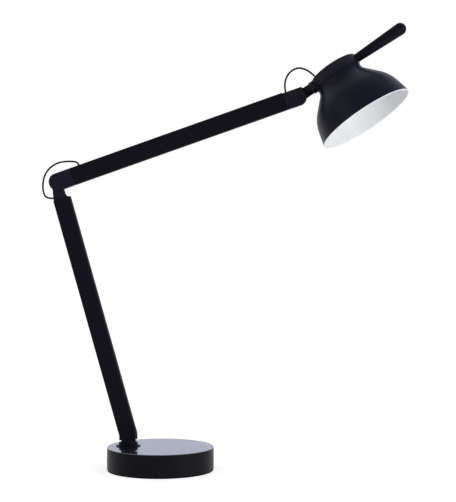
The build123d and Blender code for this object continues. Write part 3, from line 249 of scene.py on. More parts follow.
class Shader:
    """A node tree with one method that adds any node."""

    def __init__(self, owner: bpy.types.Material | bpy.types.World) -> None:
        """Empties the node tree of a material or world.

        Args:
            owner: what the tree belongs to.
        """
        self.owner = owner
        owner.use_nodes = True
        self.tree = owner.node_tree
        self.tree.nodes.clear()

    @classmethod
    def named(cls, name: str) -> "Shader":
        """A new material's shader."""
        return cls(bpy.data.materials.new(name))

    def add(
        self,
        kind: str,
        settings: Mapping[str, object] | None = None,
        sockets: Mapping[str | int, object] | None = None,
    ) -> bpy.types.Node:
        """Adds a node.

        Args:
            kind: the node's type.
            settings: the node's own properties, set first.
            sockets: a value or a Value for each named or numbered input.

        Returns:
            The node.
        """
        node = self.tree.nodes.new(kind)
        for key, setting in (settings or {}).items():
            setattr(node, key, setting)
        for key, given in (sockets or {}).items():
            if isinstance(given, Value):
                self.tree.links.new(given.socket, node.inputs[key])
            else:
                node.inputs[key].default_value = given
        return node

    def value(
        self,
        kind: str,
        settings: Mapping[str, object] | None = None,
        sockets: Mapping[str | int, object] | None = None,
        output: str | int = 0,
    ) -> Value:
        """Adds a node and wraps one of its outputs.

        Args:
            kind: the node's type.
            settings: the node's own properties, set first.
            sockets: a value or a Value for each named or numbered input.
            output: the name or number of the output.

        Returns:
            The output.
        """
        return Value(self, self.add(kind, settings, sockets).outputs[output])

    def vector_math(self, operation: str, first: object, second: object) -> bpy.types.Node:
        """Adds a Vector Math node on two vectors."""
        return self.add("ShaderNodeVectorMath", {"operation": operation}, {0: first, 1: second})

    def blend_colours(
        self, share: Value | float, first: Colour | Value, second: Colour | Value
    ) -> Value:
        """Mixes two colours.

        Args:
            share: how much of the second colour there is, from 0 to 1.
            first: the colour at share 0.
            second: the colour at share 1.

        Returns:
            The mixed colour.
        """
        inks = [ink if isinstance(ink, Value) else (*ink, 1.0) for ink in (first, second)]
        # The node's colours go in at sockets 6 and 7 and come out at 2.
        sockets = {"Factor": share, 6: inks[0], 7: inks[1]}
        return self.value("ShaderNodeMix", {"data_type": "RGBA"}, sockets, 2)

    def blend_shaders(self, share: Value, first: Value, second: Value) -> Value:
        """Mixes two shaders, the first at share 0 and the second at share 1."""
        return self.value("ShaderNodeMixShader", None, {0: share, 1: first, 2: second})

    def noise(self, place: Value, size: float, detail: float = 2.0) -> Value:
        """Even noise from 0 to 1.

        Args:
            place: coordinates in millimetres.
            size: about how far apart its patches are, in millimetres.
            detail: how many finer layers it has.

        Returns:
            The noise.
        """
        sockets = {"Vector": place, "Scale": 1 / size, "Detail": detail, "Roughness": 0.5}
        return self.value("ShaderNodeTexNoise", None, sockets)

    def bumped(self, layers: Sequence[tuple[Value, float]]) -> Value:
        """Stacks height layers into one normal.

        Args:
            layers: each height from 0 to 1 with its depth in millimetres.

        Returns:
            The normal of all the layers together.
        """
        normal = None
        for height, depth in layers:
            sockets = {"Height": height, "Distance": depth * MM, "Strength": 1.0}
            if normal is not None:
                sockets["Normal"] = normal
            normal = self.value("ShaderNodeBump", None, sockets)
        return normal

    def surface(self, **sockets: object) -> bpy.types.Material:
        """Ends the tree in a Principled shader.

        Args:
            sockets: its inputs, with underscores for the spaces in their names.

        Returns:
            The finished material.
        """
        named = {key.replace("_", " "): given for key, given in sockets.items()}
        body = self.value("ShaderNodeBsdfPrincipled", None, named)
        self.add("ShaderNodeOutputMaterial", None, {"Surface": body})
        return self.owner


class Local:
    """Coordinates of a place as shader values, in millimetres."""

    def __init__(self, shader: Shader, place: Place) -> None:
        """Adds the nodes that turn object coordinates into the place's own.

        Args:
            shader: the tree that they go into.
            place: the frame whose coordinates are wanted.
        """
        here = shader.value("ShaderNodeTexCoord", None, None, "Object")
        moved = Value(shader, shader.vector_math("SUBTRACT", here, place.origin).outputs[0])
        parts = [
            shader.vector_math("DOT_PRODUCT", moved, axis / MM).outputs["Value"]
            for axis in (place.x, place.y, place.z)
        ]
        self.shader = shader
        self.x, self.y, self.z = (Value(shader, part) for part in parts)
        sockets = {"X": self.x, "Y": self.y, "Z": self.z}
        self.all = shader.value("ShaderNodeCombineXYZ", None, sockets)

    def stretched(self, x: float, y: float, z: float) -> Value:
        """The coordinates with each axis scaled, for grain that runs one way."""
        scaled = self.shader.vector_math("MULTIPLY", self.all, (x, y, z))
        return Value(self.shader, scaled.outputs[0])

    def radius(self) -> Value:
        """How far a point is from the place's Z axis."""
        return self.x.hypot(self.y)

    def rings(self) -> Value:
        """Coordinates that are the same all the way round the Z axis."""
        sockets = {"X": self.radius(), "Y": self.z, "Z": 0.0}
        return self.shader.value("ShaderNodeCombineXYZ", None, sockets)


# ---- where edges are, for their wear ----
@dataclass(frozen=True)
class NoEdges:
    """A piece with no edge that hands or tools reach."""

    def mask(self, local: Local) -> float:
        """No wear anywhere."""
        return 0.0


@dataclass(frozen=True)
class BarEdges:
    """The four long rounded edges of a bar along X, in millimetres.

    Wear starts at the shoulder, as a share of the corner's radius.
    """

    width: float
    depth: float
    corner: float
    shoulder: ClassVar[float] = 1.12

    def mask(self, local: Local) -> Value:
        """Finds the rounded edges.

        Args:
            local: the bar's coordinates.

        Returns:
            1 on the rounded edges, 0 on the flats.
        """
        out_y = (abs(local.y) - (self.width / 2 - self.corner)).at_least(0.0)
        out_z = (abs(local.z) - (self.depth / 2 - self.corner)).at_least(0.0)
        crown = self.corner * math.sqrt(2)
        return (out_y + out_z).eased(self.corner * self.shoulder, crown)


@dataclass(frozen=True)
class RingEdges:
    """Turned edges about Z: circles, each with its radius and height in millimetres."""

    circles: tuple[tuple[float, float], ...]
    reach: float = 0.9

    def mask(self, local: Local) -> Value:
        """Finds the turned edges.

        Args:
            local: the coordinates that the circles are given in.

        Returns:
            1 on the circles, fading to 0 at reach from them.
        """
        radius = local.radius()
        nearest = None
        for ring, height in self.circles:
            away = (radius - ring).hypot(local.z - height)
            nearest = away if nearest is None else nearest.at_most(away)
        return 1.0 - nearest.eased(0.0, self.reach)


Edges = NoEdges | BarEdges | RingEdges


# ---- finishes ----
@dataclass(frozen=True)
class Lacquer:
    """A clear flaked lacquer on the flat above a height of the piece, with dull smudges."""

    above: float
    blend: float = 0.2
    roughness: float = 0.035
    ior: float = 2.0
    flake: float = 0.35
    smudge: float = 22.0
    smudge_span: tuple[float, float] = (0.5, 0.8)
    smudge_depth: float = 0.06

    def sockets(self, shader: Shader, local: Local) -> dict[str, object]:
        """Works out what the lacquer adds to the coat below it.

        Args:
            shader: the coat's shader.
            local: the piece's coordinates.

        Returns:
            The sockets that the coat's Principled shader gets from it.
        """
        smudges = shader.noise(local.all, self.smudge, detail=3.0).eased(*self.smudge_span)
        flat = local.z.eased(self.above - self.blend, self.above)
        return {
            "Coat_Weight": flat * (1.0 - smudges * self.smudge_depth),
            "Coat_Roughness": self.roughness,
            "Coat_IOR": self.ior,
            "Metallic": flat * self.flake,
        }


@dataclass(frozen=True)
class PowderCoat:
    """Satin black powder coat with a fine grain, a slight peel, handled patches and worn edges.

    Depths, patches and pitches are in millimetres.
    """

    colour: Colour = (0.0028, 0.0026, 0.0064)
    worn: Colour = (0.014, 0.014, 0.018)
    roughness: float = 0.48
    specular: float = 0.07
    patch: float = 46.0
    patch_roughness: float = 0.08
    grain: float = 0.45
    grain_depth: float = 0.006
    peel: float = 3.2
    peel_depth: float = 0.010
    edge_wear: float = 0.35
    spin_depth: float = 0.0
    spin_pitch: float = 1.6
    lacquer: Lacquer | None = None
    light_gain: ClassVar[float] = 1.55
    patch_tone: ClassVar[float] = 0.35
    grain_tone: ClassVar[float] = 0.25
    wear_patch: ClassVar[float] = 12.0
    wear_span: ClassVar[tuple[float, float]] = (0.25, 0.8)
    wear_polish: ClassVar[float] = 0.1

    def material(self, name: str, place: Place, edges: Edges) -> bpy.types.Material:
        """Makes the coat for one piece.

        Args:
            name: the material's name.
            place: the piece's own frame.
            edges: where its paint rubs thin.

        Returns:
            The material.
        """
        shader = Shader.named(name)
        local = Local(shader, place)
        patches = shader.noise(local.all, self.patch, detail=3.0)
        grain = shader.noise(local.all, self.grain, detail=1.0)
        peel = shader.noise(local.all, self.peel, detail=1.0)
        spots = shader.noise(local.all, self.wear_patch, detail=3.0).eased(*self.wear_span)
        rubbed = edges.mask(local) * self.edge_wear * spots
        tone = patches * self.patch_tone + grain * self.grain_tone
        lighter = tuple(part * self.light_gain for part in self.colour)
        ground = shader.blend_colours(tone, self.colour, lighter)
        layers = [(peel, self.peel_depth), (grain, self.grain_depth)]
        if self.spin_depth:
            rings = shader.noise(local.rings(), self.spin_pitch, detail=1.0)
            layers.insert(0, (rings, self.spin_depth))
        dull = patches * self.patch_roughness * 2 + (self.roughness - self.patch_roughness)
        return shader.surface(
            Base_Color=shader.blend_colours(rubbed, ground, self.worn),
            Roughness=dull - rubbed * self.wear_polish,
            Specular_IOR_Level=self.specular,
            Normal=shader.bumped(layers),
            **(self.lacquer.sockets(shader, local) if self.lacquer else {}),
        )


@dataclass(frozen=True)
class Enamel:
    """Smooth white enamel inside the shade, with faint spinning rings and a slight tone."""

    colour: Colour = (0.86, 0.875, 0.89)
    shaded: Colour = (0.80, 0.815, 0.835)
    roughness: float = 0.38
    specular: float = 0.4
    patch: float = 38.0
    patch_span: ClassVar[tuple[float, float]] = (0.35, 0.75)
    ring_pitch: ClassVar[float] = 2.2
    ring_roughness: ClassVar[float] = 0.08
    ring_depth: ClassVar[float] = 0.012
    peel: ClassVar[float] = 2.6
    peel_depth: ClassVar[float] = 0.008

    def material(self, name: str, place: Place) -> bpy.types.Material:
        """Makes the enamel for a piece turned about the place's Z axis.

        Args:
            name: the material's name.
            place: the piece's own frame.

        Returns:
            The material.
        """
        shader = Shader.named(name)
        local = Local(shader, place)
        tone = shader.noise(local.all, self.patch, detail=3.0).eased(*self.patch_span)
        rings = shader.noise(local.rings(), self.ring_pitch, detail=1.0)
        peel = shader.noise(local.all, self.peel, detail=1.0)
        return shader.surface(
            Base_Color=shader.blend_colours(tone, self.colour, self.shaded),
            Roughness=rings * self.ring_roughness + (self.roughness - self.ring_roughness / 2),
            Specular_IOR_Level=self.specular,
            Normal=shader.bumped([(rings, self.ring_depth), (peel, self.peel_depth)]),
        )


@dataclass(frozen=True)
class Steel:
    """Bare turned or drawn metal, with fine tool lines and darker patches."""

    colour: Colour = (0.56, 0.56, 0.57)
    dark: Colour = (0.40, 0.40, 0.41)
    roughness: float = 0.34
    line: float = 0.5
    line_stretch: ClassVar[float] = 0.15
    line_roughness: ClassVar[float] = 0.16
    line_depth: ClassVar[float] = 0.004
    patch: ClassVar[float] = 9.0
    patch_span: ClassVar[tuple[float, float]] = (0.4, 0.75)
    patch_roughness: ClassVar[float] = 0.1

    def material(self, name: str, place: Place) -> bpy.types.Material:
        """Makes the metal with its lines along the place's Y axis.

        Args:
            name: the material's name.
            place: the piece's own frame.

        Returns:
            The material.
        """
        shader = Shader.named(name)
        local = Local(shader, place)
        grain = local.stretched(1.0, self.line_stretch, 1.0)
        lines = shader.noise(grain, self.line, detail=3.0)
        patches = shader.noise(local.all, self.patch, detail=4.0)
        ground = self.roughness - (self.line_roughness + self.patch_roughness) / 2
        tone = patches.eased(*self.patch_span)
        return shader.surface(
            Base_Color=shader.blend_colours(tone, self.colour, self.dark),
            Metallic=1.0,
            Roughness=lines * self.line_roughness + patches * self.patch_roughness + ground,
            Normal=shader.bumped([(lines, self.line_depth)]),
        )


@dataclass(frozen=True)
class Moulding:
    """Moulded rubber or plastic with a spark-eroded grain and dusty high spots."""

    colour: Colour
    dusty: Colour
    roughness: float
    grain: float = 0.5
    grain_depth: float = 0.012
    specular: float = 0.35
    grain_roughness: ClassVar[float] = 0.14
    dust: ClassVar[float] = 7.0
    dust_span: ClassVar[tuple[float, float]] = (0.45, 0.8)
    dust_tone: ClassVar[float] = 0.5
    dust_roughness: ClassVar[float] = 0.08
    roughening: ClassVar[float] = 0.1  # what grain and dust add on average

    def material(self, name: str, place: Place) -> bpy.types.Material:
        """Makes the moulding in the place's coordinates.

        Args:
            name: the material's name.
            place: the piece's own frame.

        Returns:
            The material.
        """
        shader = Shader.named(name)
        local = Local(shader, place)
        grain = shader.noise(local.all, self.grain, detail=2.0)
        dust = shader.noise(local.all, self.dust, detail=4.0).eased(*self.dust_span)
        ground = self.roughness - self.roughening
        return shader.surface(
            Base_Color=shader.blend_colours(dust * self.dust_tone, self.colour, self.dusty),
            Roughness=grain * self.grain_roughness + dust * self.dust_roughness + ground,
            Specular_IOR_Level=self.specular,
            Normal=shader.bumped([(grain, self.grain_depth)]),
        )


@dataclass(frozen=True)
class CastIron:
    """Sand-cast iron with a coarse skin and a little rust."""

    colour: Colour = (0.085, 0.083, 0.082)
    rust: Colour = (0.14, 0.065, 0.035)
    skin: float = 1.1
    skin_depth: float = 0.12
    skin_roughness: ClassVar[float] = 0.2
    roughness: ClassVar[float] = 0.6
    rust_patch: ClassVar[float] = 14.0
    rust_span: ClassVar[tuple[float, float]] = (0.56, 0.74)
    rust_tone: ClassVar[float] = 0.6
    rust_dulling: ClassVar[float] = 0.8

    def material(self, name: str, place: Place) -> bpy.types.Material:
        """Makes the casting's skin in the place's coordinates.

        Args:
            name: the material's name.
            place: the piece's own frame.

        Returns:
            The material.
        """
        shader = Shader.named(name)
        local = Local(shader, place)
        skin = shader.noise(local.all, self.skin, detail=5.0)
        rust = shader.noise(local.all, self.rust_patch, detail=6.0).eased(*self.rust_span)
        return shader.surface(
            Base_Color=shader.blend_colours(rust * self.rust_tone, self.colour, self.rust),
            Metallic=1.0 - rust * self.rust_dulling,
            Roughness=skin * self.skin_roughness + self.roughness,
            Normal=shader.bumped([(skin, self.skin_depth)]),
        )


ARM_COAT = PowderCoat()
FITTING_COAT = PowderCoat(colour=(0.0058, 0.0052, 0.0140), roughness=0.42, specular=0.10)
BASE_COAT = PowderCoat(
    colour=(0.0040, 0.0038, 0.0064),
    roughness=0.40,
    specular=0.07,
    peel_depth=0.004,
    lacquer=Lacquer(above=38.6),
)
SHADE_COAT = PowderCoat(
    colour=(0.0038, 0.0036, 0.0095), roughness=0.36, specular=0.09, spin_depth=0.010
)
HUB_COAT = PowderCoat(
    colour=(0.0070, 0.0066, 0.0145), roughness=0.34, specular=0.12, spin_depth=0.010
)
PIN_COAT = PowderCoat(colour=(0.0040, 0.0040, 0.0060), roughness=0.38, patch=12.0)
LINER_ENAMEL = Enamel()
BRIGHT_STEEL = Steel()
BOARD_ALUMINIUM = Steel(colour=(0.72, 0.72, 0.74), dark=(0.62, 0.62, 0.64), roughness=0.38)
RUBBER = Moulding(
    colour=(0.0035, 0.0035, 0.0040), dusty=(0.012, 0.012, 0.012), roughness=0.80, specular=0.10
)
SWITCH_PLASTIC = Moulding(
    colour=(0.016, 0.016, 0.018),
    dusty=(0.030, 0.030, 0.031),
    roughness=0.55,
    grain=0.35,
    grain_depth=0.006,
)
BUSH_PLASTIC = Moulding(
    colour=(0.70, 0.69, 0.64),
    dusty=(0.55, 0.53, 0.48),
    roughness=0.45,
    grain=0.8,
    grain_depth=0.004,
)
OPAL = Moulding(
    colour=(0.86, 0.86, 0.84),
    dusty=(0.80, 0.80, 0.78),
    roughness=0.32,
    grain=1.2,
    grain_depth=0.003,
    specular=0.5,
)
SOLDER_MASK = Moulding(
    colour=(0.80, 0.81, 0.80),
    dusty=(0.70, 0.70, 0.68),
    roughness=0.42,
    grain=0.9,
    grain_depth=0.004,
)
JACKET = Moulding(
    colour=(0.0030, 0.0030, 0.0042),
    dusty=(0.0075, 0.0075, 0.0085),
    roughness=0.60,
    grain=0.6,
    grain_depth=0.006,
    specular=0.04,
)


def dress(nodes: Sequence[str], material: bpy.types.Material) -> None:
    """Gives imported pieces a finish.

    Args:
        nodes: the pieces' names.
        material: what fills their material slots.
    """
    for name in nodes:
        mesh = frame["nodes"][name].data
        mesh.materials.clear()
        mesh.materials.append(material)
        LOG.info("%s wears %s", name, material.name)


def add_mesh(name: str, mesh: bpy.types.Mesh, material: bpy.types.Material) -> bpy.types.Object:
    """Puts a new smooth mesh with a material into the scene.

    Args:
        name: the piece's name.
        mesh: its shape, in the lamp's frame.
        material: its finish.

    Returns:
        The piece.
    """
    mesh.name = name
    mesh.materials.clear()
    mesh.materials.append(material)
    mesh.shade_smooth()
    piece = bpy.data.objects.new(name, mesh)
    bpy.context.scene.collection.objects.link(piece)
    LOG.info("built %s with %d faces", name, len(mesh.polygons))
    return piece


def turned(profile: Sequence[tuple[float, float]], place: Place, steps: int = 48) -> bpy.types.Mesh:
    """A closed ring of revolution about a place's Z axis.

    Args:
        profile: radius and height of each corner in millimetres, in order round the section.
        place: the frame that it stands in.
        steps: how many sections make the circle.

    Returns:
        The mesh, in the lamp's frame.
    """
    shape = bmesh.new()
    rows = []
    for step in range(steps):
        turn = math.tau * step / steps
        rows.append(
            [
                shape.verts.new((r * MM * math.cos(turn), r * MM * math.sin(turn), h * MM))
                for r, h in profile
            ]
        )
    count = len(profile)
    for step, row in enumerate(rows):
        after = rows[(step + 1) % steps]
        for k in range(count):
            following = (k + 1) % count
            shape.faces.new((row[k], after[k], after[following], row[following]))
    bmesh.ops.recalc_face_normals(shape, faces=shape.faces)
    shape.transform(place.matrix())
    mesh = bpy.data.meshes.new("turned")
    shape.to_mesh(mesh)
    shape.free()
    return mesh


# ---- loose cables ----
@dataclass(frozen=True)
class LooseCable:
    """One loose stretch of the lamp's cable, bending across one joint."""

    name: str
    route: tuple[Vector, ...]
    joint: Joint
    replaces: str
    diameter: float = 3.0
    sides: ClassVar[int] = 20
    smoothness: ClassVar[int] = 24

    def curve(self) -> bpy.types.Object:
        """The route as a smooth spline with no thickness.

        Returns:
            A curve object that isn't in the scene yet.
        """
        data = bpy.data.curves.new(self.name + "_line", "CURVE")
        data.dimensions = "3D"
        data.resolution_u = self.smoothness
        spline = data.splines.new("NURBS")
        spline.points.add(len(self.route) - 1)
        for point, place in zip(spline.points, self.route):
            point.co = (*place, 1.0)
        spline.order_u = 3
        spline.use_endpoint_u = True
        return bpy.data.objects.new(self.name + "_line", data)

    def centreline(self) -> list[Vector]:
        """Reads points along the spline.

        Returns:
            The points in order, in metres.
        """
        line = self.curve()
        bpy.context.scene.collection.objects.link(line)
        bpy.context.view_layer.update()
        depsgraph = bpy.context.evaluated_depsgraph_get()
        mesh = bpy.data.meshes.new_from_object(line.evaluated_get(depsgraph))
        points = [vertex.co.copy() for vertex in mesh.vertices]
        bpy.data.meshes.remove(mesh)
        bpy.data.objects.remove(line)
        return points

    def tube(self, line: Sequence[Vector]) -> bpy.types.Mesh:
        """A round tube with capped ends.

        Args:
            line: the points that its middle follows, in metres.

        Returns:
            The mesh, in the lamp's frame.
        """
        radius = self.diameter * MM / 2
        shape = bmesh.new()
        along = (line[1] - line[0]).normalized()
        side = along.orthogonal().normalized()
        rings = []
        for k, centre in enumerate(line):
            before, after = line[max(k - 1, 0)], line[min(k + 1, len(line) - 1)]
            fresh = (after - before).normalized()
            side = along.rotation_difference(fresh) @ side
            along = fresh
            other = along.cross(side)
            ring = []
            for step in range(self.sides):
                turn = math.tau * step / self.sides
                out = side * math.cos(turn) + other * math.sin(turn)
                ring.append(shape.verts.new(centre + out * radius))
            rings.append(ring)
        for ring, following in zip(rings, rings[1:]):
            for step in range(self.sides):
                nearby = (step + 1) % self.sides
                shape.faces.new((ring[step], ring[nearby], following[nearby], following[step]))
        shape.faces.new(reversed(rings[0]))
        shape.faces.new(rings[-1])
        bmesh.ops.recalc_face_normals(shape, faces=shape.faces)
        mesh = bpy.data.meshes.new(self.name)
        shape.to_mesh(mesh)
        shape.free()
        return mesh

    def build(self, material: bpy.types.Material) -> bpy.types.Object:
        """Builds the cable's tube and hides the solid that it replaces.

        Args:
            material: its jacket.

        Returns:
            The cable's tube.
        """
        line = self.centreline()
        piece = add_mesh(self.name, self.tube(line), material)
        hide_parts(self.replaces)
        self.diameter * MM
        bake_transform(piece)
        return piece


@dataclass(frozen=True)
class Cables:
    """The loops at the elbow and at the head, within 3 mm of their solids' routes.

    Starts and ends are in the frames of the arms and the head, free points are from the pivots.
    """

    pose: Pose
    elbow_start: Point = (418.9, 0.0, 14.8)
    elbow_free: tuple[Point, ...] = (
        (-21.0, 0.0, -28.4),
        (-27.0, -0.4, -14.4),
        (-25.4, -0.9, 6.4),
        (-17.0, -1.4, 21.6),
        (-2.2, -1.9, 31.8),
        (14.0, -2.3, 34.5),
        (26.5, -2.7, 34.2),
        (33.5, -2.9, 33.0),
    )
    elbow_end: Point = (43.5, -3.0, 15.1)
    head_start: Point = (412.2, -3.0, 13.7)
    head_free: tuple[Point, ...] = (
        (-22.8, -2.4, 18.6),
        (-20.8, -1.9, 31.9),
        (-13.2, -1.3, 43.4),
        (-1.2, -0.6, 49.7),
        (11.0, 0.4, 47.2),
        (23.6, 1.5, 39.6),
    )
    head_end: Point = (-31.0, 0.0, 6.5)
    topmost: int = 4

    def loops(self) -> list[LooseCable]:
        """The elbow's loop, and the head's in the two stretches that its joints make.

        Returns:
            The loops, of which the head's two meet halfway past the topmost point.
        """
        lower, upper, head = self.pose.lower_arm(), self.pose.upper_arm(), self.pose.head()
        elbow, tilt = self.pose.pivot("elbow"), self.pose.pivot("head_tilt")
        round_elbow = [
            lower.point(*self.elbow_start),
            *(elbow + Vector(p) * MM for p in self.elbow_free),
            upper.point(*self.elbow_end),
        ]
        over_head = [
            upper.point(*self.head_start),
            *(tilt + Vector(p) * MM for p in self.head_free),
            head.point(*self.head_end),
        ]
        middle = (over_head[self.topmost] + over_head[self.topmost + 1]) / 2
        arm_side = [*over_head[: self.topmost + 1], middle]
        hub_side = [middle, *over_head[self.topmost + 1 :]]
        return [
            LooseCable("elbow_cable", tuple(round_elbow), Joint.ELBOW, "elbow_loop"),
            LooseCable(
                "head_cable_arm_side", tuple(arm_side), Joint.HEAD_TILT, "head_loop_arm_side"
            ),
            LooseCable(
                "head_cable_hub_side", tuple(hub_side), Joint.HEAD_ROLL, "head_loop_hub_side"
            ),
        ]

    def build(self) -> None:
        """Builds every loop."""
        jacket = JACKET.material("cable_jacket", self.pose.upper_arm())
        for cable in self.loops():
            cable.build(jacket)
        dress(["lower_lead", "upper_lead"], jacket)


# ---- sub-assemblies ----
ARM_EDGES = BarEdges(width=14.0, depth=30.0, corner=3.0)


@dataclass(frozen=True)
class Base:
    """The heavy round base. The sizes of this and the next pieces are in millimetres."""

    pose: Pose
    radius: float = 90.0
    height: float = 39.3
    foot: float = 1.5
    top_inset: float = 0.2
    foot_inset: float = 0.3
    edge_reach: float = 1.1
    pad_radius: float = 79.0
    rim_radius: float = 89.5
    rim_edge: float = 0.4
    rim_gap: float = 0.05
    cover_gap: float = 0.02
    rim_steps: int = 180

    def dress(self) -> None:
        """Finishes the base's pieces."""
        place = self.pose.base()
        top = (self.radius - self.top_inset, self.height - self.top_inset)
        foot = (self.radius - self.foot_inset, self.foot + self.foot_inset)
        rims = RingEdges((top, foot), self.edge_reach)
        dress(["base_cover"], BASE_COAT.material("base_coat", place, rims))
        dress(["base_ballast"], CastIron().material("ballast_iron", place))
        dress(["base_plate", "base_screws"], BRIGHT_STEEL.material("plate_steel", place))
        rubber = RUBBER.material("foot_rubber", place)
        dress(["foot_pad", "inlet_grommet"], rubber)
        dress(["swivel_bush"], BUSH_PLASTIC.material("bush_plastic", place))
        self.add_foot_rim_and_shadow(place, rubber)

    def add_foot_rim_and_shadow(self, place: Place, rubber: bpy.types.Material) -> None:
        """Builds the foot pad's outer rim, a dark rubber ring out to the base's edge that is also a
        painted shadow: the dark line in the gap between the base and the table.

        Args:
            place: the base's frame.
            rubber: the pad's material.
        """
        inner, top = self.pad_radius + self.rim_gap, self.foot - self.cover_gap
        section = (
            (inner, 0.0),
            (self.rim_radius - self.rim_edge, 0.0),
            (self.rim_radius, self.rim_edge),
            (self.rim_radius, top),
            (inner, top),
        )
        # painted shadow: this dark ring carries the pad's rubber on and fills the gap under the
        # base's edge, where there would be only shade
        piece = add_mesh("foot_rim_and_shadow", turned(section, place, self.rim_steps), rubber)
        piece.data.shade_flat()
        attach(piece, "base")


@dataclass(frozen=True)
class Post:
    """The swivel post with the fork of the lower arm."""

    pose: Pose
    rosette_radius: float = 21.0
    rosette_edge: float = 0.9
    collar_radius: float = 16.0
    collar_top: float = 6.6
    edge_inset: float = 0.2

    def dress(self) -> None:
        """Finishes the post's pieces."""
        place = self.pose.post()
        rosette = (self.rosette_radius - self.edge_inset, self.rosette_edge)
        collar = (self.collar_radius - self.edge_inset, self.collar_top - self.edge_inset)
        coat = ARM_COAT.material("post_coat", place, RingEdges((rosette, collar)))
        dress(["swivel_knuckle", "swivel_rosette"], coat)
        steel = BRIGHT_STEEL.material("post_steel", place)
        dress(["swivel_shaft", "swivel_washer", "swivel_nut", "lower_drum"], steel)
        dress(["lower_axle", "lower_axle_nut"], PIN_COAT.material("axle_black", place, NoEdges()))
        dress(["lower_washers"], BUSH_PLASTIC.material("washer_plastic", place))


@dataclass(frozen=True)
class LowerArm:
    """The lower arm from its foot to the elbow's tongue."""

    pose: Pose
    edges: BarEdges = ARM_EDGES

    def dress(self) -> None:
        """Finishes the lower arm's pieces."""
        place = self.pose.lower_arm()
        coat = ARM_COAT.material("lower_arm_coat", place, self.edges)
        dress(["lower_foot", "lower_arm_tube"], coat)
        dress(["elbow_tongue"], FITTING_COAT.material("tongue_coat", place, NoEdges()))
        steel = BRIGHT_STEEL.material("lower_spring_steel", place)
        dress(["lower_pull_wire", "lower_spring", "lower_tension_nut", "lower_spring_block"], steel)


@dataclass(frozen=True)
class UpperArm:
    """The upper arm from the elbow's fork to the head's fork."""

    pose: Pose
    edges: BarEdges = ARM_EDGES

    def dress(self) -> None:
        """Finishes the upper arm's pieces."""
        place = self.pose.upper_arm()
        dress(["upper_arm_tube"], ARM_COAT.material("upper_arm_coat", place, self.edges))
        dress(["elbow_fork", "head_fork"], FITTING_COAT.material("fork_coat", place, self.edges))
        pins = FITTING_COAT.material("arm_axle_black", place, NoEdges())
        dress(["arm_axles", "arm_axle_nuts"], pins)
        plastic = BUSH_PLASTIC.material("arm_washer_plastic", place)
        dress(["elbow_washers", "tilt_washers"], plastic)
        dress(["entry_grommet"], RUBBER.material("entry_rubber", place))
        steel = BRIGHT_STEEL.material("upper_spring_steel", place)
        dress(["upper_pull_wire", "upper_spring", "upper_tension_nut", "upper_spring_block"], steel)


@dataclass(frozen=True)
class Head:
    """Neck, hub, spun shade, light, switch and handle."""

    pose: Pose
    hub_radius: float = 42.3
    hub_top: float = 7.5
    hub_bottom: float = -8.5
    edge_inset: float = 0.2
    washer_bore: float = 3.54
    washer_rim: float = 8.95
    washer_start: float = 25.70
    washer_end: float = 26.48
    rim_radius: float = 84.8
    rim_depth: float = 94.3
    rim_reach: float = 1.4

    def dress(self) -> None:
        """Finishes the head's pieces."""
        place = self.pose.head()
        neck = self.pose.neck()
        dress(["neck"], ARM_COAT.material("neck_coat", neck, NoEdges()))
        dress(["roll_spindle", "roll_nut"], PIN_COAT.material("spindle_black", neck, NoEdges()))
        top = (self.hub_radius - self.edge_inset, self.hub_top - self.edge_inset)
        hub_rims = RingEdges((top, (self.hub_radius, self.hub_bottom)))
        dress(["hub_ring", "hub_cap"], HUB_COAT.material("hub_coat", place, hub_rims))
        rim = RingEdges(((self.rim_radius, -self.rim_depth),), self.rim_reach)
        dress(["shade"], SHADE_COAT.material("shade_coat", place, rim))
        dress(["reflector"], LINER_ENAMEL.material("liner_enamel", place))
        dress(["diffuser"], OPAL.material("diffuser_opal", place))
        dress(["led_board"], SOLDER_MASK.material("board_mask", place))
        dress(["heat_sink"], BOARD_ALUMINIUM.material("sink_aluminium", place))
        dress(["handle"], ARM_COAT.material("handle_coat", place, NoEdges()))
        screws = BRIGHT_STEEL.material("head_steel", place)
        dress(["shade_screws", "handle_screw", "button_spring"], screws)
        dress(["cap_screws"], PIN_COAT.material("cap_screw_black", place, NoEdges()))
        dress(["switch_body", "switch_button"], SWITCH_PLASTIC.material("switch_plastic", place))
        dress(["cap_grommet"], RUBBER.material("cap_rubber", place))
        self.add_roll_washer(neck)

    def add_roll_washer(self, neck: Place) -> None:
        """Builds the washer between neck and hub, up to the boss so that no light gets by.

        Args:
            neck: the neck's frame.
        """
        section = (
            (self.washer_bore, self.washer_start),
            (self.washer_rim, self.washer_start),
            (self.washer_rim, self.washer_end),
            (self.washer_bore, self.washer_end),
        )
        disc = turned(section, Place(neck.origin, neck.z, neck.x))
        plastic = SWITCH_PLASTIC.material("roll_washer_black", neck)
        piece = add_mesh("roll_washer_disc", disc, plastic)
        disc.shade_flat()
        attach(piece, "head_yoke")
        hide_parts("roll_washer")


# ---- studio ----
@dataclass(frozen=True)
class Viewpoint:
    """The photograph's viewpoint, solved from the base's ellipse, the arms and the shade's rim.

    Angles are in degrees and the place is in metres.
    """

    azimuth: float = 6.0
    pitch: float = -1.82
    place: Point = (0.38515, -2.57384, 0.4520)
    focal_length_px: float = 1547.5
    frame_height_px: float = 502.0
    sensor_mm: float = 36.0

    def build(self) -> bpy.types.Object:
        """Makes the scene's camera.

        Returns:
            The camera.
        """
        data = bpy.data.cameras.new("camera")
        data.sensor_width = self.sensor_mm
        data.lens = self.sensor_mm * self.focal_length_px / self.frame_height_px
        camera = bpy.data.objects.new("camera", data)
        bpy.context.scene.collection.objects.link(camera)
        turn, pitch = math.radians(self.azimuth), math.radians(self.pitch)
        level = math.cos(pitch)
        towards = Vector((-math.sin(turn) * level, math.cos(turn) * level, math.sin(pitch)))
        camera.location = self.place
        camera.rotation_euler = towards.to_track_quat("-Z", "Y").to_euler()
        bpy.context.scene.camera = camera
        return camera


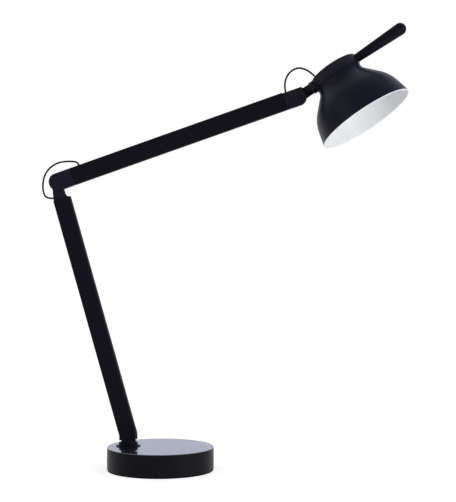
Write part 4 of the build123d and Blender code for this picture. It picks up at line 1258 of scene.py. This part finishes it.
@dataclass(frozen=True)
class SoftBox:
    """A large soft lamp that looks at a point of the object, in metres."""

    name: str
    place: Point
    target: Point
    size: tuple[float, float]
    power: float

    def build(self) -> None:
        """Makes the lamp."""
        data = bpy.data.lights.new(self.name, "AREA")
        data.shape = "RECTANGLE"
        data.size, data.size_y = self.size
        data.energy = self.power
        lamp = bpy.data.objects.new(self.name, data)
        bpy.context.scene.collection.objects.link(lamp)
        lamp.location = self.place
        aim = Vector(self.target) - Vector(self.place)
        lamp.rotation_euler = aim.to_track_quat("-Z", "Y").to_euler()


@dataclass(frozen=True)
class Studio:
    """A white room with a pale floor and soft lamps."""

    room_light: float = 0.50
    mirrored: Colour = (0.80, 0.83, 1.0)
    floor_half: float = 14.0
    floor_colour: Colour = (0.88, 0.88, 0.88)
    floor_lift: float = 0.58
    lamps: tuple[SoftBox, ...] = (
        SoftBox(
            "fill_left",
            place=(-2.2, -1.6, 1.9),
            target=(0.0, 0.0, 0.35),
            size=(1.6, 1.6),
            power=9.0,
        ),
        SoftBox(
            "key_right",
            place=(1.7, -0.9, 0.35),
            target=(0.30, 0.0, 0.60),
            size=(0.9, 1.2),
            power=17.0,
        ),
    )

    @staticmethod
    def background(shader: Shader, colour: Colour, strength: float) -> Value:
        """One even background of the room."""
        sockets = {"Color": (*colour, 1.0), "Strength": strength}
        return shader.value("ShaderNodeBackground", None, sockets)

    def room(self) -> None:
        """White where it is seen or reflected, softer where it lights."""
        world = bpy.data.worlds.new("white_room")
        bpy.context.scene.world = world
        shader = Shader(world)
        rays = shader.add("ShaderNodeLightPath").outputs
        mirrored = Value(shader, rays["Is Glossy Ray"])
        through = Value(shader, rays["Is Transmission Ray"])
        seen = Value(shader, rays["Is Camera Ray"]).at_least(through)
        lighting = self.background(shader, WHITE, self.room_light)
        glossy = self.background(shader, self.mirrored, 1.0)
        shown = self.background(shader, WHITE, 1.0)
        unseen = shader.blend_shaders(mirrored, lighting, glossy)
        mixed = shader.blend_shaders(seen, unseen, shown)
        shader.add("ShaderNodeOutputWorld", None, {"Surface": mixed})

    def floor(self) -> None:
        """A pale floor that keeps the lamp's shadow and is white where nothing shades it."""
        shader = Shader.named("pale_floor")
        rays = shader.add("ShaderNodeLightPath").outputs
        seen = Value(shader, rays["Is Camera Ray"]).at_least(Value(shader, rays["Is Glossy Ray"]))
        matt = shader.value("ShaderNodeBsdfDiffuse", None, {"Color": (*self.floor_colour, 1.0)})
        light = {"Color": (*WHITE, 1.0), "Strength": self.floor_lift}
        glow = shader.value("ShaderNodeEmission", None, light)
        lifted = shader.value("ShaderNodeAddShader", None, {0: matt, 1: glow})
        mixed = shader.blend_shaders(seen, matt, lifted)
        shader.add("ShaderNodeOutputMaterial", None, {"Surface": mixed})
        half = self.floor_half
        corners = [(-half, -half, 0), (half, -half, 0), (half, half, 0), (-half, half, 0)]
        mesh = bpy.data.meshes.new("floor")
        mesh.from_pydata(corners, [], [(0, 1, 2, 3)])
        floor = add_mesh("floor", mesh, shader.owner)

    def build(self) -> None:
        """Makes the room, the floor and the lamps."""
        self.room()
        self.floor()
        for lamp in self.lamps:
            lamp.build()
        bpy.context.scene.view_settings.view_transform = "Standard"


def main() -> None:
    """Builds the camera and cables first, then each sub-assembly and the studio."""
    logging.basicConfig(level=logging.INFO, format="%(name)s: %(message)s")
    pose = Pose()
    Viewpoint().build()
    Cables(pose).build()
    for part in (Base(pose), Post(pose), LowerArm(pose), UpperArm(pose), Head(pose)):
        part.dress()
        LOG.info("%s is dressed", type(part).__name__)
    Studio().build()


if __name__ == "__main__":
    main()
